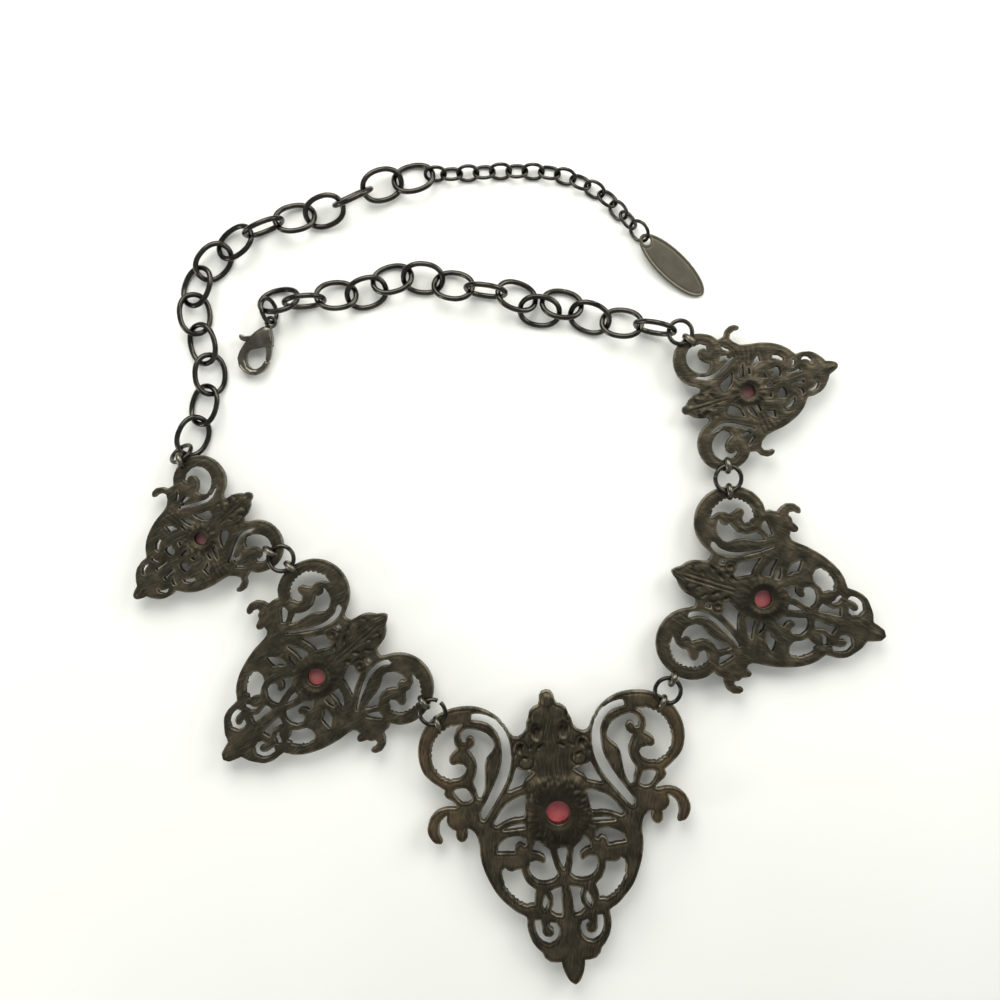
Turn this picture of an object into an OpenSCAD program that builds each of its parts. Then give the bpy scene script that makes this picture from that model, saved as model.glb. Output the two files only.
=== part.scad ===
// Statement necklace of five cast openwork plaques on a cable chain, laid out open, its back upwards.
// Millimetres, +Z up. Everything lies on the plane z = 0.

/* [Plaques] */
// Thickness of a cast plaque
plate_t = 1.9; // [1.6:0.1:2.2]
// Height of a plaque's lower face above the surface
plate_lift = 3.2; // [3.0:0.1:3.8]
// Height of the boss and the relief above a plaque's back
relief_h = 0.5; // [0.3:0.1:0.7]
// Greatest length of one straight side of a curved edge
edge_step = 1.2; // [1:0.1:1.5]
// Radius of one scallop along a scalloped edge
scallop_r = 0.32; // [0.2:0.02:0.4]

/* [Stones] */
// Gap between a stone and its setting
stone_gap = 0.15; // [0.1:0.05:0.2]
// Wall of a stone's setting
bezel_w = 0.7; // [0.6:0.1:0.9]

/* [Jump rings and eyelets] */
// Wire of the jump rings
ring_wire = 0.9; // [0.8:0.05:1]
// Radius of a jump ring between plaques, to the middle of its wire
ring_r = 3.1; // [3:0.1:3.3]
// Radius of an eyelet, to the middle of its wire
eyelet_r = 1.3; // [1.25:0.05:1.4]
// Wire of an eyelet
eyelet_wire = 1.2; // [1.1:0.05:1.25]

/* [Cable chain] */
// Length of a link
link_l = 10.6; // [10.5:0.1:10.8]
// Width of a link
link_w = 8.3; // [8.2:0.1:8.5]
// Wire of a link
link_wire = 1.15; // [1:0.05:1.15]

/* [Extension chain] */
// Length of a small link
small_l = 5.5; // [5.4:0.1:5.6]
// Width of a small link
small_w = 4.3; // [4.2:0.1:4.5]
// Wire of a small link
small_wire = 0.7; // [0.6:0.05:0.7]

/* [Clasp] */
// Thickness of the clasp's body
clasp_t = 3; // [2.8:0.1:3.2]
// Thickness of the lever
lever_t = 1.4; // [1.2:0.1:1.5]
// Gap on each side of the lever
lever_gap = 0.15; // [0.1:0.05:0.2]
// Diameter of the lever's pin
pin_d = 0.9; // [0.8:0.1:1]

/* [Tag] */
// Length of the tag
tag_l = 20.5; // [19:0.5:21]
// Width of the tag
tag_w = 7; // [6:0.5:7.5]
// Thickness of the tag
tag_t = 0.6; // [0.5:0.1:0.7]

/* [Hidden] */
$fn = 40;

// Half outlines of the three sizes of plaque, from the crest round to the tip: [x, y]
centre_outline = [
    [0, 31.3], [1.1, 31], [1.8, 29.9], [1.9, 28.7], [2.3, 27.8], [3.4, 27.4], [4.5, 26.4], [4.9, 24.9],
    [5.5, 23.6], [5.8, 22], [6.8, 20.9], [8, 20.4], [9, 20.6], [9.6, 21.3], [10.4, 23], [12, 25.4],
    [14.4, 27.4], [17.2, 28.7], [20.5, 29.1], [24, 28.7], [27, 27.5], [29.6, 25.5], [31.4, 22.7],
    [32.3, 19.5], [32.3, 16.6], [31.5, 13.8], [30, 11.9], [28, 10.2], [26.8, 9.3], [27.1, 8.2],
    [26.6, 7.3], [25.2, 6.3], [24, 5.1], [24.6, 4.7], [26.6, 4.9], [29.1, 4.4], [31.1, 2.6], [32.1, 0.2],
    [31.7, -2], [30.5, -3.6], [28.9, -3.9], [28.6, -3.5], [29.2, -1.9], [29.2, 0], [28.5, 1.8], [27, 3],
    [27.2, 1.6], [26.9, 0.4], [26, -0.5], [25.2, -0.9], [25.3, -2], [25.1, -3.1], [24.2, -3.9],
    [23.2, -3.7], [22.5, -2.8], [22.4, -1.7], [22.9, -0.8], [21.8, -0.7], [20.8, -1.6], [20.1, -3.3],
    [19.9, -5], [19.9, -8], [19.4, -11], [18.2, -14.6], [16.4, -18.2], [13.8, -21.2], [12, -22.8],
    [10.2, -23.9], [10.3, -26], [10.1, -28], [9.4, -30.2], [8.2, -32.1], [7.3, -33.1], [6.8, -34.4],
    [5.7, -35.5], [4.2, -35.8], [2.9, -35.8], [2.7, -37.2], [2.1, -39.2], [1.1, -41], [0, -41.8]];
middle_outline = [
    [0, 24.2], [0.9, 23.4], [1.7, 22.2], [3, 21.2], [4, 19.6], [4.4, 17.8], [4.7, 16.6], [5.6, 16.1],
    [6.6, 16.1], [7.2, 17], [8.2, 19], [10, 21], [12.4, 22.3], [15.3, 22.8], [18.4, 22.2], [21, 20.6],
    [22.8, 18.3], [23.8, 15.6], [24, 12.9], [23.3, 10.3], [21.9, 8.2], [20.3, 7], [20.9, 6.1], [20.9, 4.9],
    [21, 4.2], [22.2, 3.8], [23.5, 2.7], [24, 1], [23.5, -0.5], [22.5, -1.2], [21.9, -0.6], [22.2, 0.4],
    [21.7, 1.5], [21, 1.5], [20.6, 0.6], [19.7, 0.1], [19.3, -0.8], [18.8, -1.7], [17.9, -1.8],
    [17.4, -1], [17.4, -0.2], [16.3, -0.3], [15.6, -1], [15.3, -2.4], [15.1, -5], [14.5, -8],
    [13.4, -11.3], [12, -14], [10.3, -16], [8.5, -17.3], [8.4, -18.6], [8.3, -20.4], [7.5, -22.4],
    [6, -23.8], [4.2, -25.1], [2.4, -25.8], [2, -27.2], [1.4, -28.8], [0, -29.7]];
end_outline = [
    [0, 17.4], [0.9, 17], [1.2, 16], [2.1, 15.2], [2.9, 13.6], [3.1, 12], [3.8, 11.6], [4.5, 12.2],
    [5.4, 13.9], [7.2, 15.5], [9.6, 16.2], [12.2, 16], [14.5, 14.8], [16.1, 12.8], [16.8, 10.3],
    [16.4, 7.8], [15.2, 5.7], [13.9, 4.6], [14.1, 3.6], [14.3, 2.9], [15.4, 2.3], [16.2, 1],
    [16.1, -0.3], [15.4, -1.1], [14.7, -0.9], [14.8, 0.2], [14.3, 1.4], [13.4, 1.8], [12.3, 1.2],
    [11.3, 0], [10.8, -2], [10.4, -4.6], [9.5, -7.3], [8.3, -9.4], [6.8, -11], [5.3, -12.1],
    [5.4, -13.6], [5, -15.3], [4, -16.8], [2.7, -17.9], [1.7, -18.4], [1.3, -19.6], [0.7, -20.7], [0, -21]];

// Openings in a plaque's right half: [name, points round its edge, first and last point of its scallops]
centre_openings = [
    ["loop", [[21.2, 24.9], [23.6, 24.6], [25.9, 23.6], [27.7, 21.9], [28.8, 19.7], [29.1, 17.2],
        [28.6, 14.6], [27.2, 12.7], [25.2, 11.7], [23.1, 11.7], [21.5, 12.8], [21, 14.2], [21.6, 15.1],
        [23, 15.4], [24.2, 15.2], [25, 15.8], [25, 17], [24.1, 18], [22.7, 19], [23.3, 20.4],
        [23.3, 22], [22.6, 23.6], [21.5, 24.5]], [1, 8]],
    ["scroll", [[19.8, 23.8], [17.6, 23.3], [15.3, 22.2], [14, 20.4], [13.7, 18.6], [14.6, 17.3],
        [15.9, 16.1], [16.5, 14.5], [16.7, 12.6], [16.9, 10.4], [17.3, 8.2], [18.3, 6.2], [18.9, 6.4],
        [19.3, 8.4], [19.9, 10.4], [19.1, 11.9], [18.5, 13.6], [18.6, 15.6], [19.4, 17.2], [20.2, 18.5],
        [19.3, 18.9], [18.5, 19.6], [18.3, 20.6], [18.8, 21.6], [19.7, 21.9], [20.4, 21.2], [20.7, 20.2],
        [21.4, 20.3], [21.8, 21.5], [21.4, 22.8], [20.5, 23.6]], []],
    ["slot", [[18.1, 0.8], [16.9, 2.2], [14.7, 5.2], [12.5, 8.4], [11, 11.4], [10.1, 14.6], [9.9, 17.8],
        [10.3, 20.8], [11.5, 23.6], [13.6, 25.9], [16.2, 27.1], [18.4, 27.2], [18.7, 25.6], [17.2, 25.3],
        [15, 24.5], [13.2, 22.6], [12.2, 20.2], [12.1, 17.2], [12.4, 14.6], [13.5, 11.8], [15.1, 8.8],
        [17, 5.6], [18.8, 2.7], [18.7, 1.1]], []],
    ["foot", [[21.6, 9.2], [24.8, 8.8], [22.9, 5.7], [20.5, 6.2]], []],
    ["crest", [[9, 13], [10.2, 10.2], [11.5, 7.5], [9.6, 7.9], [7.9, 8.5], [7.3, 9.7], [5.9, 10.6],
        [4.9, 11.5], [6.6, 12], [8, 12.5]], []],
    ["dome", [[7.6, 6.1], [9.8, 5.6], [12.1, 4.5], [14.2, 2.3], [16, -0.6], [15.2, -1], [13, 0.1],
        [10.6, 0.7], [8.3, 0.8], [7.8, 3.5]], []],
    ["rib", [[8.3, -0.9], [10.4, -0.9], [12.4, -1.3], [13.7, -2], [12.4, -2.1], [10.4, -2],
        [8.3, -1.9]], []],
    ["curl", [[8.5, -6], [8.6, -4.5], [9.8, -3.8], [11.8, -3.7], [13.8, -4.4], [15.2, -5.7],
        [15.7, -7.3], [13.4, -7.5], [11.5, -7.7], [11.2, -6.3], [10.3, -5.4], [9.5, -5.6],
        [9, -6.2]], []],
    ["wall", [[15.2, -13.2], [14.9, -11.8], [14.2, -11.2], [13.6, -11.9], [12.7, -12.3], [11.7, -12],
        [10.4, -11.9], [10.1, -13.4], [9.2, -15.6], [7.4, -17.3], [7.8, -19.2], [8, -20.9],
        [9.7, -20.8], [11.4, -20], [13.2, -18.2], [14.6, -15.8]], [12, 15]],
    ["scroll pair", [[6.1, -5.3], [6.9, -6.7], [7.1, -7.9], [5.6, -8.3], [4.4, -9.2], [4.1, -10.4],
        [4.8, -11.2], [5.5, -10.6], [6.6, -10.1], [8, -10.4], [8.5, -11.9], [8, -13.8], [6.5, -15.3],
        [4.5, -15.7], [2.5, -15.2], [1.6, -14.3], [2.1, -12.1], [2.6, -9.6], [2.9, -7.9],
        [4.4, -6.6]], []],
    ["lattice", [[1.1, -17.2], [2.6, -17.5], [3.9, -18], [3.3, -19.8], [3.4, -21.4], [4.1, -23.2],
        [1.7, -24.4], [1.4, -20.8]], []],
    ["leaf", [[5.1, -18.9], [4.5, -20.3], [4.9, -21.7], [5.7, -22.8], [6.1, -21.6], [5.7, -20]], []],
    ["lobe", [[7, -24.9], [8.2, -24.9], [8.4, -27], [8, -29], [6.8, -30.7], [5.3, -31.4], [3.8, -30.8],
        [2.8, -29.2], [2.6, -27.3], [3.2, -26.1], [4.4, -25.7], [5, -26.2], [4.7, -27], [4, -27.6],
        [4, -28.7], [4.9, -29.3], [6.1, -29.1], [6.8, -28.1], [6.8, -26.5]], []]];
middle_openings = [
    ["loop", [[15, 19.1], [17, 19], [19, 18], [20.5, 16.4], [21, 14.2], [20.7, 12], [19.6, 10.2],
        [18, 9.3], [16.6, 9.8], [16, 10.9], [16.9, 11.8], [18.4, 11.7], [19.2, 12.3], [19, 13.4],
        [17.8, 14.2], [17.1, 14.9], [17.2, 16.2], [16.6, 17.7], [15.4, 18.5]], [1, 7]],
    ["scroll", [[14.9, 17.1], [13.2, 17], [11.4, 16], [10.5, 14.6], [10.5, 13.2], [11.8, 11.4],
        [12.6, 9.2], [13, 6.6], [13.7, 5], [14.4, 6], [15, 7.5], [14, 8.8], [13.4, 10.2], [13.5, 11.9],
        [14.3, 13.3], [14.9, 14.2], [14.2, 14.9], [14.1, 15.9], [14.8, 16.5]], []],
    ["slot", [[12.5, 2.8], [11.1, 4.6], [9.4, 7.2], [8, 10], [7.3, 12.8], [7.5, 15.2], [8.4, 17],
        [9.5, 17.1], [9.6, 16.3], [8.7, 14.9], [8.4, 12.8], [8.9, 10.4], [10, 7.9], [11.4, 5.2],
        [12.7, 3.2]], []],
    ["foot", [[18.2, 6.2], [16.4, 6.7], [14.9, 4.4], [15.3, 3.7]], []],
    ["crest", [[6.5, 9.4], [7.9, 6.7], [9.2, 4.6], [7.6, 5.1], [5.6, 5.5], [4.7, 5.4], [3.9, 7],
        [3, 8.8], [3.6, 9.7], [5, 9.2]], []],
    ["crest eye", [[5.1, 12.6], [5.9, 12.6], [5.9, 13.7], [5.1, 13.7]], []],
    ["dome", [[10.1, 0.8], [8.8, 2.2], [7, 3.1], [5.6, 3.3], [5.5, 2.2], [5.6, 1.2], [7.6, 1.2]], []],
    ["rib", [[8.4, -0.5], [7, 0], [5.6, 0], [5.6, -1.1], [7, -1.1]], []],
    ["curl", [[11.5, -4.9], [10.4, -3.3], [8.8, -2.4], [7.2, -2.3], [7.4, -3.2], [8.2, -3.8],
        [8.7, -4.9], [10, -5]], []],
    ["wall", [[11.1, -9.6], [10.4, -8.7], [9, -8.4], [7.7, -9], [6.9, -10.7], [5.8, -12.2],
        [6.4, -13.2], [7, -14.3], [8.3, -14.1], [9.6, -12.9], [10.6, -11.4]], [7, 10]],
    ["scroll pair", [[3.9, -3.5], [4.7, -4.4], [4.9, -5.6], [3.8, -5.9], [3, -6.8], [3.1, -7.8],
        [3.9, -8.1], [4.7, -7.5], [5.5, -7.5], [6.1, -8.7], [5.6, -10.2], [4.2, -11.1], [2.4, -11.1],
        [1.3, -10.4], [1.8, -8.5], [2.2, -6.5], [2.6, -4.9]], []],
    ["lattice", [[1.2, -12.4], [3.1, -12.8], [2.8, -14.2], [2.6, -15.6], [3.3, -17.3], [1.6, -17.8],
        [1.4, -15]], []],
    ["leaf", [[4, -14.7], [3.9, -15.6], [4.5, -16.5], [6, -17], [6.4, -16.2], [5.6, -15.5],
        [4.7, -15.3]], []],
    ["lobe", [[5.9, -18.1], [6.8, -18.6], [6.8, -20.5], [5.9, -22.1], [4.4, -22.8], [2.9, -22],
        [2.4, -20.5], [2.9, -19.3], [4, -19], [3.8, -19.9], [3.5, -20.6], [4.1, -21.3], [5.1, -21],
        [5.7, -20], [5.8, -19]], []]];
end_openings = [
    ["loop", [[12.6, 12.7], [10.7, 13.1], [8.9, 12.5], [7.5, 10.9], [7, 9.2], [7.9, 8.1], [8.9, 7.7],
        [9.5, 8.8], [10.6, 9.8], [12, 10], [12.9, 9.3], [13, 8.3], [12.2, 7.6], [13.3, 7.4],
        [14.1, 8.6], [14.2, 10.3], [13.7, 11.8]], []],
    ["slot", [[6.8, 12.4], [6.1, 11.3], [5.5, 9.8], [5.5, 8.2], [6.2, 6.4], [7.4, 4.2], [8.8, 1.8],
        [9.1, 2.2], [8, 4.6], [6.9, 6.7], [6.3, 8.4], [6.3, 9.9], [6.8, 11.2]], []],
    ["scroll", [[9.2, 5.6], [10, 4.9], [9.7, 3.2], [9.1, 3.6]], []],
    ["foot", [[12.4, 4.4], [11.9, 3.8], [10.8, 2.5], [10.4, 2.9], [11.3, 4]], []],
    ["crest", [[3.6, 7], [1.9, 6.3], [3, 4.3], [5.4, 3.5], [4.6, 5]], []],
    ["dome", [[6.6, 0.5], [5.3, 1.7], [3.6, 2.3], [3.8, 1.2], [5.2, 0.7]], []],
    ["rib", [[5.4, -0.3], [3.9, 0.1], [3.9, -0.6], [5.2, -0.7]], []],
    ["curl", [[7.8, -3.6], [6.8, -2.2], [5.4, -1.7], [5.9, -2.7], [6.1, -3.7]], []],
    ["upper scroll", [[2.9, -3.8], [2.3, -2.8], [1.9, -4.1]], []],
    ["scroll pair", [[3.9, -6.8], [3.5, -5.5], [2.9, -6], [2.2, -5.6], [1.5, -6.2], [1.4, -7.2],
        [2.4, -7.6], [3.5, -7.5]], []],
    ["wall", [[6.7, -6.8], [6, -6.5], [5.4, -7.7], [4.5, -9], [5.3, -9.1], [6.2, -8.2]], []],
    ["lattice", [[1, -9], [1.6, -9.1], [1.5, -10.5], [1.8, -12.2], [1.2, -12.2], [1.1, -10.6]], []],
    ["leaf", [[2.5, -10.4], [3.4, -10.9], [4.4, -11], [4, -11.6], [3, -11.3]], []],
    ["lobe", [[3.7, -12.9], [4.3, -13.7], [3.9, -14.8], [2.9, -15.5], [2.2, -15.1], [3, -14.8],
        [3.5, -14]], []]];

// Openings on a plaque's axis, in the stem under the boss
centre_stem = [[-1, -7.7], [1, -7.7], [1.05, -9.5], [0.6, -11.6], [0, -12.9], [-0.6, -11.6], [-1.05, -9.5]];
middle_stem = [[-0.6, -5.2], [0.6, -5.2], [0.5, -7.3], [0, -8.9], [-0.5, -7.3]];
end_stem = [[-0.3, -3.4], [0.3, -3.4], [0.25, -4.6], [0, -5.6], [-0.25, -4.6]];

// Half outlines of the bosses, raised round the hole
centre_boss = [[0, 10.4], [4.4, 10.2], [6.6, 8.2], [7.1, 4.6], [7.2, 1], [6.9, -2.4], [5.4, -4.4],
    [3, -6], [0, -6.8]];
middle_boss = [[0, 6.2], [2.8, 5.6], [4.4, 4], [5, 1.6], [4.8, -0.8], [3.8, -2.9], [2, -4.2], [0, -4.6]];
end_boss = [[0, 4.3], [2, 3.9], [3, 2.6], [3.3, 0.8], [3, -1], [2, -2.3], [0, -2.8]];

// Raised scrolls and ribs on a plaque's right half: rows of [x, y, width] along each
centre_ridges = [
    [[1.9, 20], [1.6, 21.8], [2.2, 23.3], [3.6, 23.8], [4.3, 22.8], [3.7, 21.9]],
    [[8.4, 14.6], [7.6, 13.1], [6.2, 13.1], [5.5, 14.4], [6.4, 15.4]],
    [[5.2, 16.8], [6.1, 18.8], [7.6, 19.1], [8.3, 17.6], [8.6, 16]],
    [[1.2, 25.8], [1.7, 24.4], [1.2, 22.6]],
    [[0, -34.4], [0, -36.6], [0, -39.4]]];
middle_ridges = [
    [[2.6, 19.4], [1.9, 17.8], [2.6, 16.2], [3.9, 16.3]],
    [[3.6, 11.6], [4.6, 10.7], [5.7, 11.4], [6, 12.1]],
    [[0, 21.6], [0, 18.6], [0, 15]],
    [[0, -25.4], [0, -28]]];
end_ridges = [
    [[1.9, 13.4], [1.2, 12], [1.9, 10.8]],
    [[0, 15.4], [0, 13], [0, 10.6]],
    [[0, -17.6], [0, -19.6]]];
ridge_w = 0.7;

// Sizes of plaque: [outline, openings, stem opening, boss, ridges, hole's height on the axis, hole's
// diameter, stone's diameter]
sizes = [
    [centre_outline, centre_openings, centre_stem, centre_boss, centre_ridges, 1.3, 5.8, 12],
    [middle_outline, middle_openings, middle_stem, middle_boss, middle_ridges, 1.1, 4.2, 8.6],
    [end_outline, end_openings, end_stem, end_boss, end_ridges, 0.9, 3, 6]];

// Plaques: [name, size, hole's place x, y, turn of the axis]
PLAQUES = [
    ["centre", 0, 14.1, -75.6, 5.9],
    ["mid_left", 1, -44.5, -42.7, -48.4],
    ["mid_right", 1, 63.2, -23.5, 72.9],
    ["end_left", 2, -72.2, -9.1, -48.6],
    ["end_right", 2, 59.3, 26.1, 106.8]];

// Wire of the small ring that holds the tag
tag_ring_wire = 0.7;
// Clearance between a jump ring and a plaque under it
ring_play = 0.2;
// Height of the rings that lie on the plaques, at the middle of their wire
mid_z = plate_lift + plate_t + ring_wire/2 + ring_play;
// Jump rings: [name, x, y, z, radius to the middle of the wire, heading and tilt of its plane, wire]
RINGS = [
    ["centre_left", -16.3, -51, mid_z, ring_r, 0, 0, ring_wire],
    ["centre_right", 40.4, -45.6, mid_z, ring_r, 0, 0, ring_wire],
    ["mid_left", -52.6, -13.8, mid_z, ring_r, 0, 0, ring_wire],
    ["mid_right", 54.4, 5.4, mid_z, ring_r, 0, 0, ring_wire],
    ["chain_left", -76.9, 11.4, 3.6, 2.8, 33, -55, ring_wire],
    ["chain_right", 42.8, 40, mid_z, 2.8, 0, 0, ring_wire],
    ["clasp", -55.4, 45.7, 3.15, 2.9, -80, -65, ring_wire],
    ["tag", 33.3, 64.3, 2.5, 2.6, -52, 55, tag_ring_wire]];
// Eyelets: [plaque, ring that it holds, angle round that ring]
EYELETS = [
    [0, 0, -62], [1, 0, 130], [0, 1, -117], [2, 1, 67], [1, 2, -40], [3, 2, 147], [2, 3, -85],
    [4, 3, 94], [3, 4, -100], [4, 5, -40]];

// Cable links from the end plaque upwards: [x, y, heading, bank, pitch, lift]
LEFT_LINKS = [
    [-74.3, 15.6, 68, 27, -7, 0.3],
    [-71.6, 23.1, 74, -24, 0, 0],
    [-70.1, 30.5, 91.3, 24, 0, 0],
    [-71.8, 37.8, 104, -24, 0, 0],
    [-73.6, 45, 96, 24, 0, 0],
    [-73, 51.6, 69, -24, 0, 0],
    [-68.9, 57.5, 48, 24, 0, 0],
    [-63.4, 62, 32, -24, 12, 0.8],
    [-56.3, 65.4, 22, 84, 0, 0],
    [-49, 67.7, 15, -24, -12, 0.8],
    [-41.9, 69.3, 20, 24, 12, 0.8],
    [-34.9, 72.4, 24, -72, 0, 0],
    [-28, 75.4, 18.7, 24, -12, 0.8],
    [-20.6, 77.1, 12.9, -24, 0, 0]];
RIGHT_LINKS = [
    [36.9, 41.2, 170, -76, -18, 0.8],
    [29.2, 42.5, 171, 24, -11, 0.8],
    [21.6, 43.9, 160, -24, 0, 0],
    [14.9, 47.1, 170, 25, 0, 0],
    [9.6, 45.5, 172, -24, 0, 0],
    [4.1, 49, 163, 25, 12, 0.8],
    [-3.3, 50.2, 172, -76, 0, 0],
    [-11.1, 51.5, 168, 24, -12, 0.8],
    [-18.4, 53.4, 175, -25, 0, 0],
    [-25.8, 53.2, 194, 25, 0, 0],
    [-32, 50, 198, -24, 0, 0],
    [-39.2, 49.3, 187, 24, 12, 0.8],
    [-46.7, 47.8, 186, -76, 0, 0],
    [-53, 48.1, 188, 40, -8, 0.2]];

// Small links from the last cable link to the tag: [x, y, heading, bank, lift]
SMALL_LINKS = [
    [-15.4, 78.2, 2, 40, 0.1],
    [-11.5, 78.2, 1, -34, 0.05],
    [-7.6, 78.4, 3, 31, 0],
    [-3.7, 78.6, 3, -31, 0],
    [0.2, 78.8, 1, 31, 0],
    [4.1, 78.8, 0, -31, 0],
    [8, 78.7, -3, 31, 0],
    [11.9, 78.4, -8, -31, 0],
    [15.7, 77.5, -16, 31, 0],
    [19.3, 76.1, -24, -31, 0],
    [22.7, 74.4, -30, 31, 0],
    [25.8, 72.2, -38, -31, 0],
    [28.4, 69.4, -50, 33, 0],
    [30.7, 67.1, -52, -40, 0]];

// Clasp: [x, y, turn, rise, pitch] of the middle of its hook, its eye end raised on its ring
CLASP = [-58.9, 34.2, -22.5, 0.5, 7];
// Outline of the clasp's body and hook, from its eye round the hook to its tip and back: [x, y]
clasp_outline = [
    [-0.4, 8.6], [-1.9, 7], [-2.9, 5.2], [-3.7, 3], [-4.2, 0.6], [-4.1, -1.3], [-3.2, -2.8],
    [-1.7, -3.7], [0, -3.9], [1.5, -3.4], [2.7, -2.1], [3.3, -0.5], [3.35, 0.7], [2.3, 0.8],
    [2, -0.7], [1.2, -1.9], [0, -2.4], [-1.3, -2], [-2.2, -0.9], [-2.4, 0.4], [-2.1, 1.6],
    [-0.2, 2.9], [1.6, 3.9], [2.8, 4.4], [2.5, 5.8], [1.6, 7.3], [0.9, 8.6]];
// Lever of the clasp: rows of [x, y, width] from its thumb tab to its gate's end
lever_path = [[-5.2, 3.4, 1], [-3.4, 4, 1.5], [-1.5, 4.8, 1.9], [0.7, 5.1, 2.3], [2.1, 3.9, 1.5],
    [2.6, 2.4, 1.2], [2.75, 1.3, 1.05]];
lever_pivot = [0.7, 5.1];
lever_swing = 25;
clasp_eye = [0.3, 9.8];
clasp_eye_r = 1.15;
clasp_eye_wire = 0.85;

// Tag: [x, y, turn, rise of its middle, slope], and its hole's distance from the end
TAG = [41.2, 56.4, -42.5, 1.1, 6];
tag_hole_in = 1.9;
tag_hole_d = 1.9;

// Growth that joins the parts of a plan
plan_join = 0.01;
// Depth of a stone's setting under its plaque, and of the stone's straight edge
bezel_h = 1.6;
stone_girdle = 0.6;
// Clearance round the lever's pin
bore_play = 0.1;
// Brings the middle of the whole layout over the origin
layout_shift = [-1.89, 18.74, 0];

function turned(p, a) = [p[0]*cos(a) - p[1]*sin(a), p[0]*sin(a) + p[1]*cos(a)];
function heading(v) = atan2(v[1], v[0]);
// A point of a ring, at an angle round it
function ring_point(r, angle) = let (p = turned([r[4]*cos(angle), r[4]*sin(angle)*cos(r[6])], r[5]))
    [r[1] + p[0], r[2] + p[1], r[3] + r[4]*sin(angle)*sin(r[6])];

// A smooth curve through points a, b, c, d, at t between b and c
function blend(a, b, c, d, t) =
    (2*b + (c - a)*t + (2*a - 5*b + 4*c - d)*t*t + (3*b - a - 3*c + d)*t*t*t)/2;
function steps(b, c, step) = max(1, round(norm([c[0] - b[0], c[1] - b[1]])/step));
function closed_curve(p, step) = let (n = len(p))
    [for (i = [0:n - 1]) let (b = p[i], c = p[(i + 1)%n], k = steps(b, c, step))
        for (s = [0:k - 1]) blend(p[(i + n - 1)%n], b, c, p[(i + 2)%n], s/k)];
function open_curve(p, step) = let (n = len(p))
    [for (i = [0:n - 2]) let (b = p[i], c = p[i + 1], k = steps(b, c, step))
        for (s = [0:k - 1]) blend(p[max(i - 1, 0)], b, c, p[min(i + 2, n - 1)], s/k), p[n - 1]];
function side_point(c, i, s) = let (a = c[max(i - 1, 0)], b = c[min(i + 1, len(c) - 1)],
    t = [b[0] - a[0], b[1] - a[1]]/norm([b[0] - a[0], b[1] - a[1]]))
    [c[i][0] - s*t[1]*c[i][2]/2, c[i][1] + s*t[0]*c[i][2]/2];

module both_sides() {
    children();
    mirror([1, 0]) children();
}

// A band that follows rows of [x, y, width], with round ends
module band(rows, step) {
    c = open_curve(rows, step);
    n = len(c);
    polygon([for (i = [0:n - 1]) side_point(c, i, 1), for (i = [n - 1:-1:0]) side_point(c, i, -1)]);
    for (e = [c[0], c[n - 1]]) translate([e[0], e[1]]) circle(d = e[2], $fn = 16);
}

module torus(r, wire) {
    rotate_extrude() translate([r, 0]) circle(d = wire);
}

// One opening, with scallops cut along a stretch of its edge
module opening(o) {
    polygon(closed_curve(o[1], edge_step));
    if (len(o[2]) == 2) {
        edge = open_curve([for (i = [o[2][0]:o[2][1]]) o[1][i]], 3.2*scallop_r);
        for (p = edge) translate(p) circle(scallop_r, $fn = 8);
    }
}

module plaque_plan(size) {
    offset(delta = plan_join) difference() {
        both_sides() polygon(open_curve(size[0], edge_step));
        both_sides() for (o = size[1]) opening(o);
        polygon(closed_curve(size[2], edge_step));
    }
}

module plaque_relief(size) {
    offset(delta = plan_join) {
        both_sides() polygon(open_curve(size[3], edge_step));
        both_sides() for (r = size[4]) band([for (p = r) [p[0], p[1], ridge_w]], edge_step);
    }
}

// An upright eyelet round a ring's wire
module eyelet(r, angle) {
    p = ring_point(r, angle);
    translate(p) rotate(heading([p[0] - r[1], p[1] - r[2]])) rotate([90, 0, 0]) torus(eyelet_r, eyelet_wire);
}

// A plaque, its back upwards, with the bored boss, the stone's setting below and its eyelets
module plaque(i) {
    p = PLAQUES[i];
    size = sizes[p[1]];
    stone_r = size[7]/2 + stone_gap;
    color("#3d3a33") union() {
        translate([p[2], p[3], plate_lift]) rotate(p[4]) difference() {
            union() {
                translate([0, -size[5], 0]) linear_extrude(plate_t) plaque_plan(size);
                translate([0, -size[5], plate_t - 0.1]) linear_extrude(relief_h + 0.1) plaque_relief(size);
                translate([0, 0, -bezel_h]) cylinder(r = stone_r + bezel_w, h = bezel_h + 0.1);
            }
            translate([0, 0, -1]) cylinder(d = size[6], h = plate_t + relief_h + 2);
            translate([0, 0, -bezel_h - 1]) cylinder(r = stone_r, h = bezel_h + 1);
        }
        for (e = EYELETS) if (e[0] == i) eyelet(RINGS[e[1]], e[2]);
    }
}

// A rose cabochon under a plaque, its dome downwards, its flat back against the plate
module stone(i) {
    p = PLAQUES[i];
    r = sizes[p[1]][7]/2;
    top = plate_lift - stone_gap;
    dome = top - stone_girdle;
    ball = (r*r + dome*dome)/(2*dome);
    color("#b4606a") translate([p[2], p[3], 0]) intersection() {
        cylinder(r = r, h = top);
        translate([0, 0, ball]) sphere(ball, $fn = 60);
    }
}

// An oval of round wire, its long way along X: two half round bends and two straight sides
module link(l, w, wire) {
    bend = (w - wire)/2;
    side = (l - w)/2;
    for (s = [0, 180]) rotate(s) {
        translate([side, 0, 0]) rotate(-90) rotate_extrude(angle = 180)
            translate([bend, 0]) circle(d = wire);
        translate([-side, bend, 0]) rotate([0, 90, 0]) cylinder(d = wire, h = 2*side);
    }
}

// Height at which a link banked by an angle lies
function lie(w, wire, bank) = (w - wire)/2*abs(sin(bank)) + wire/2;

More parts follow.
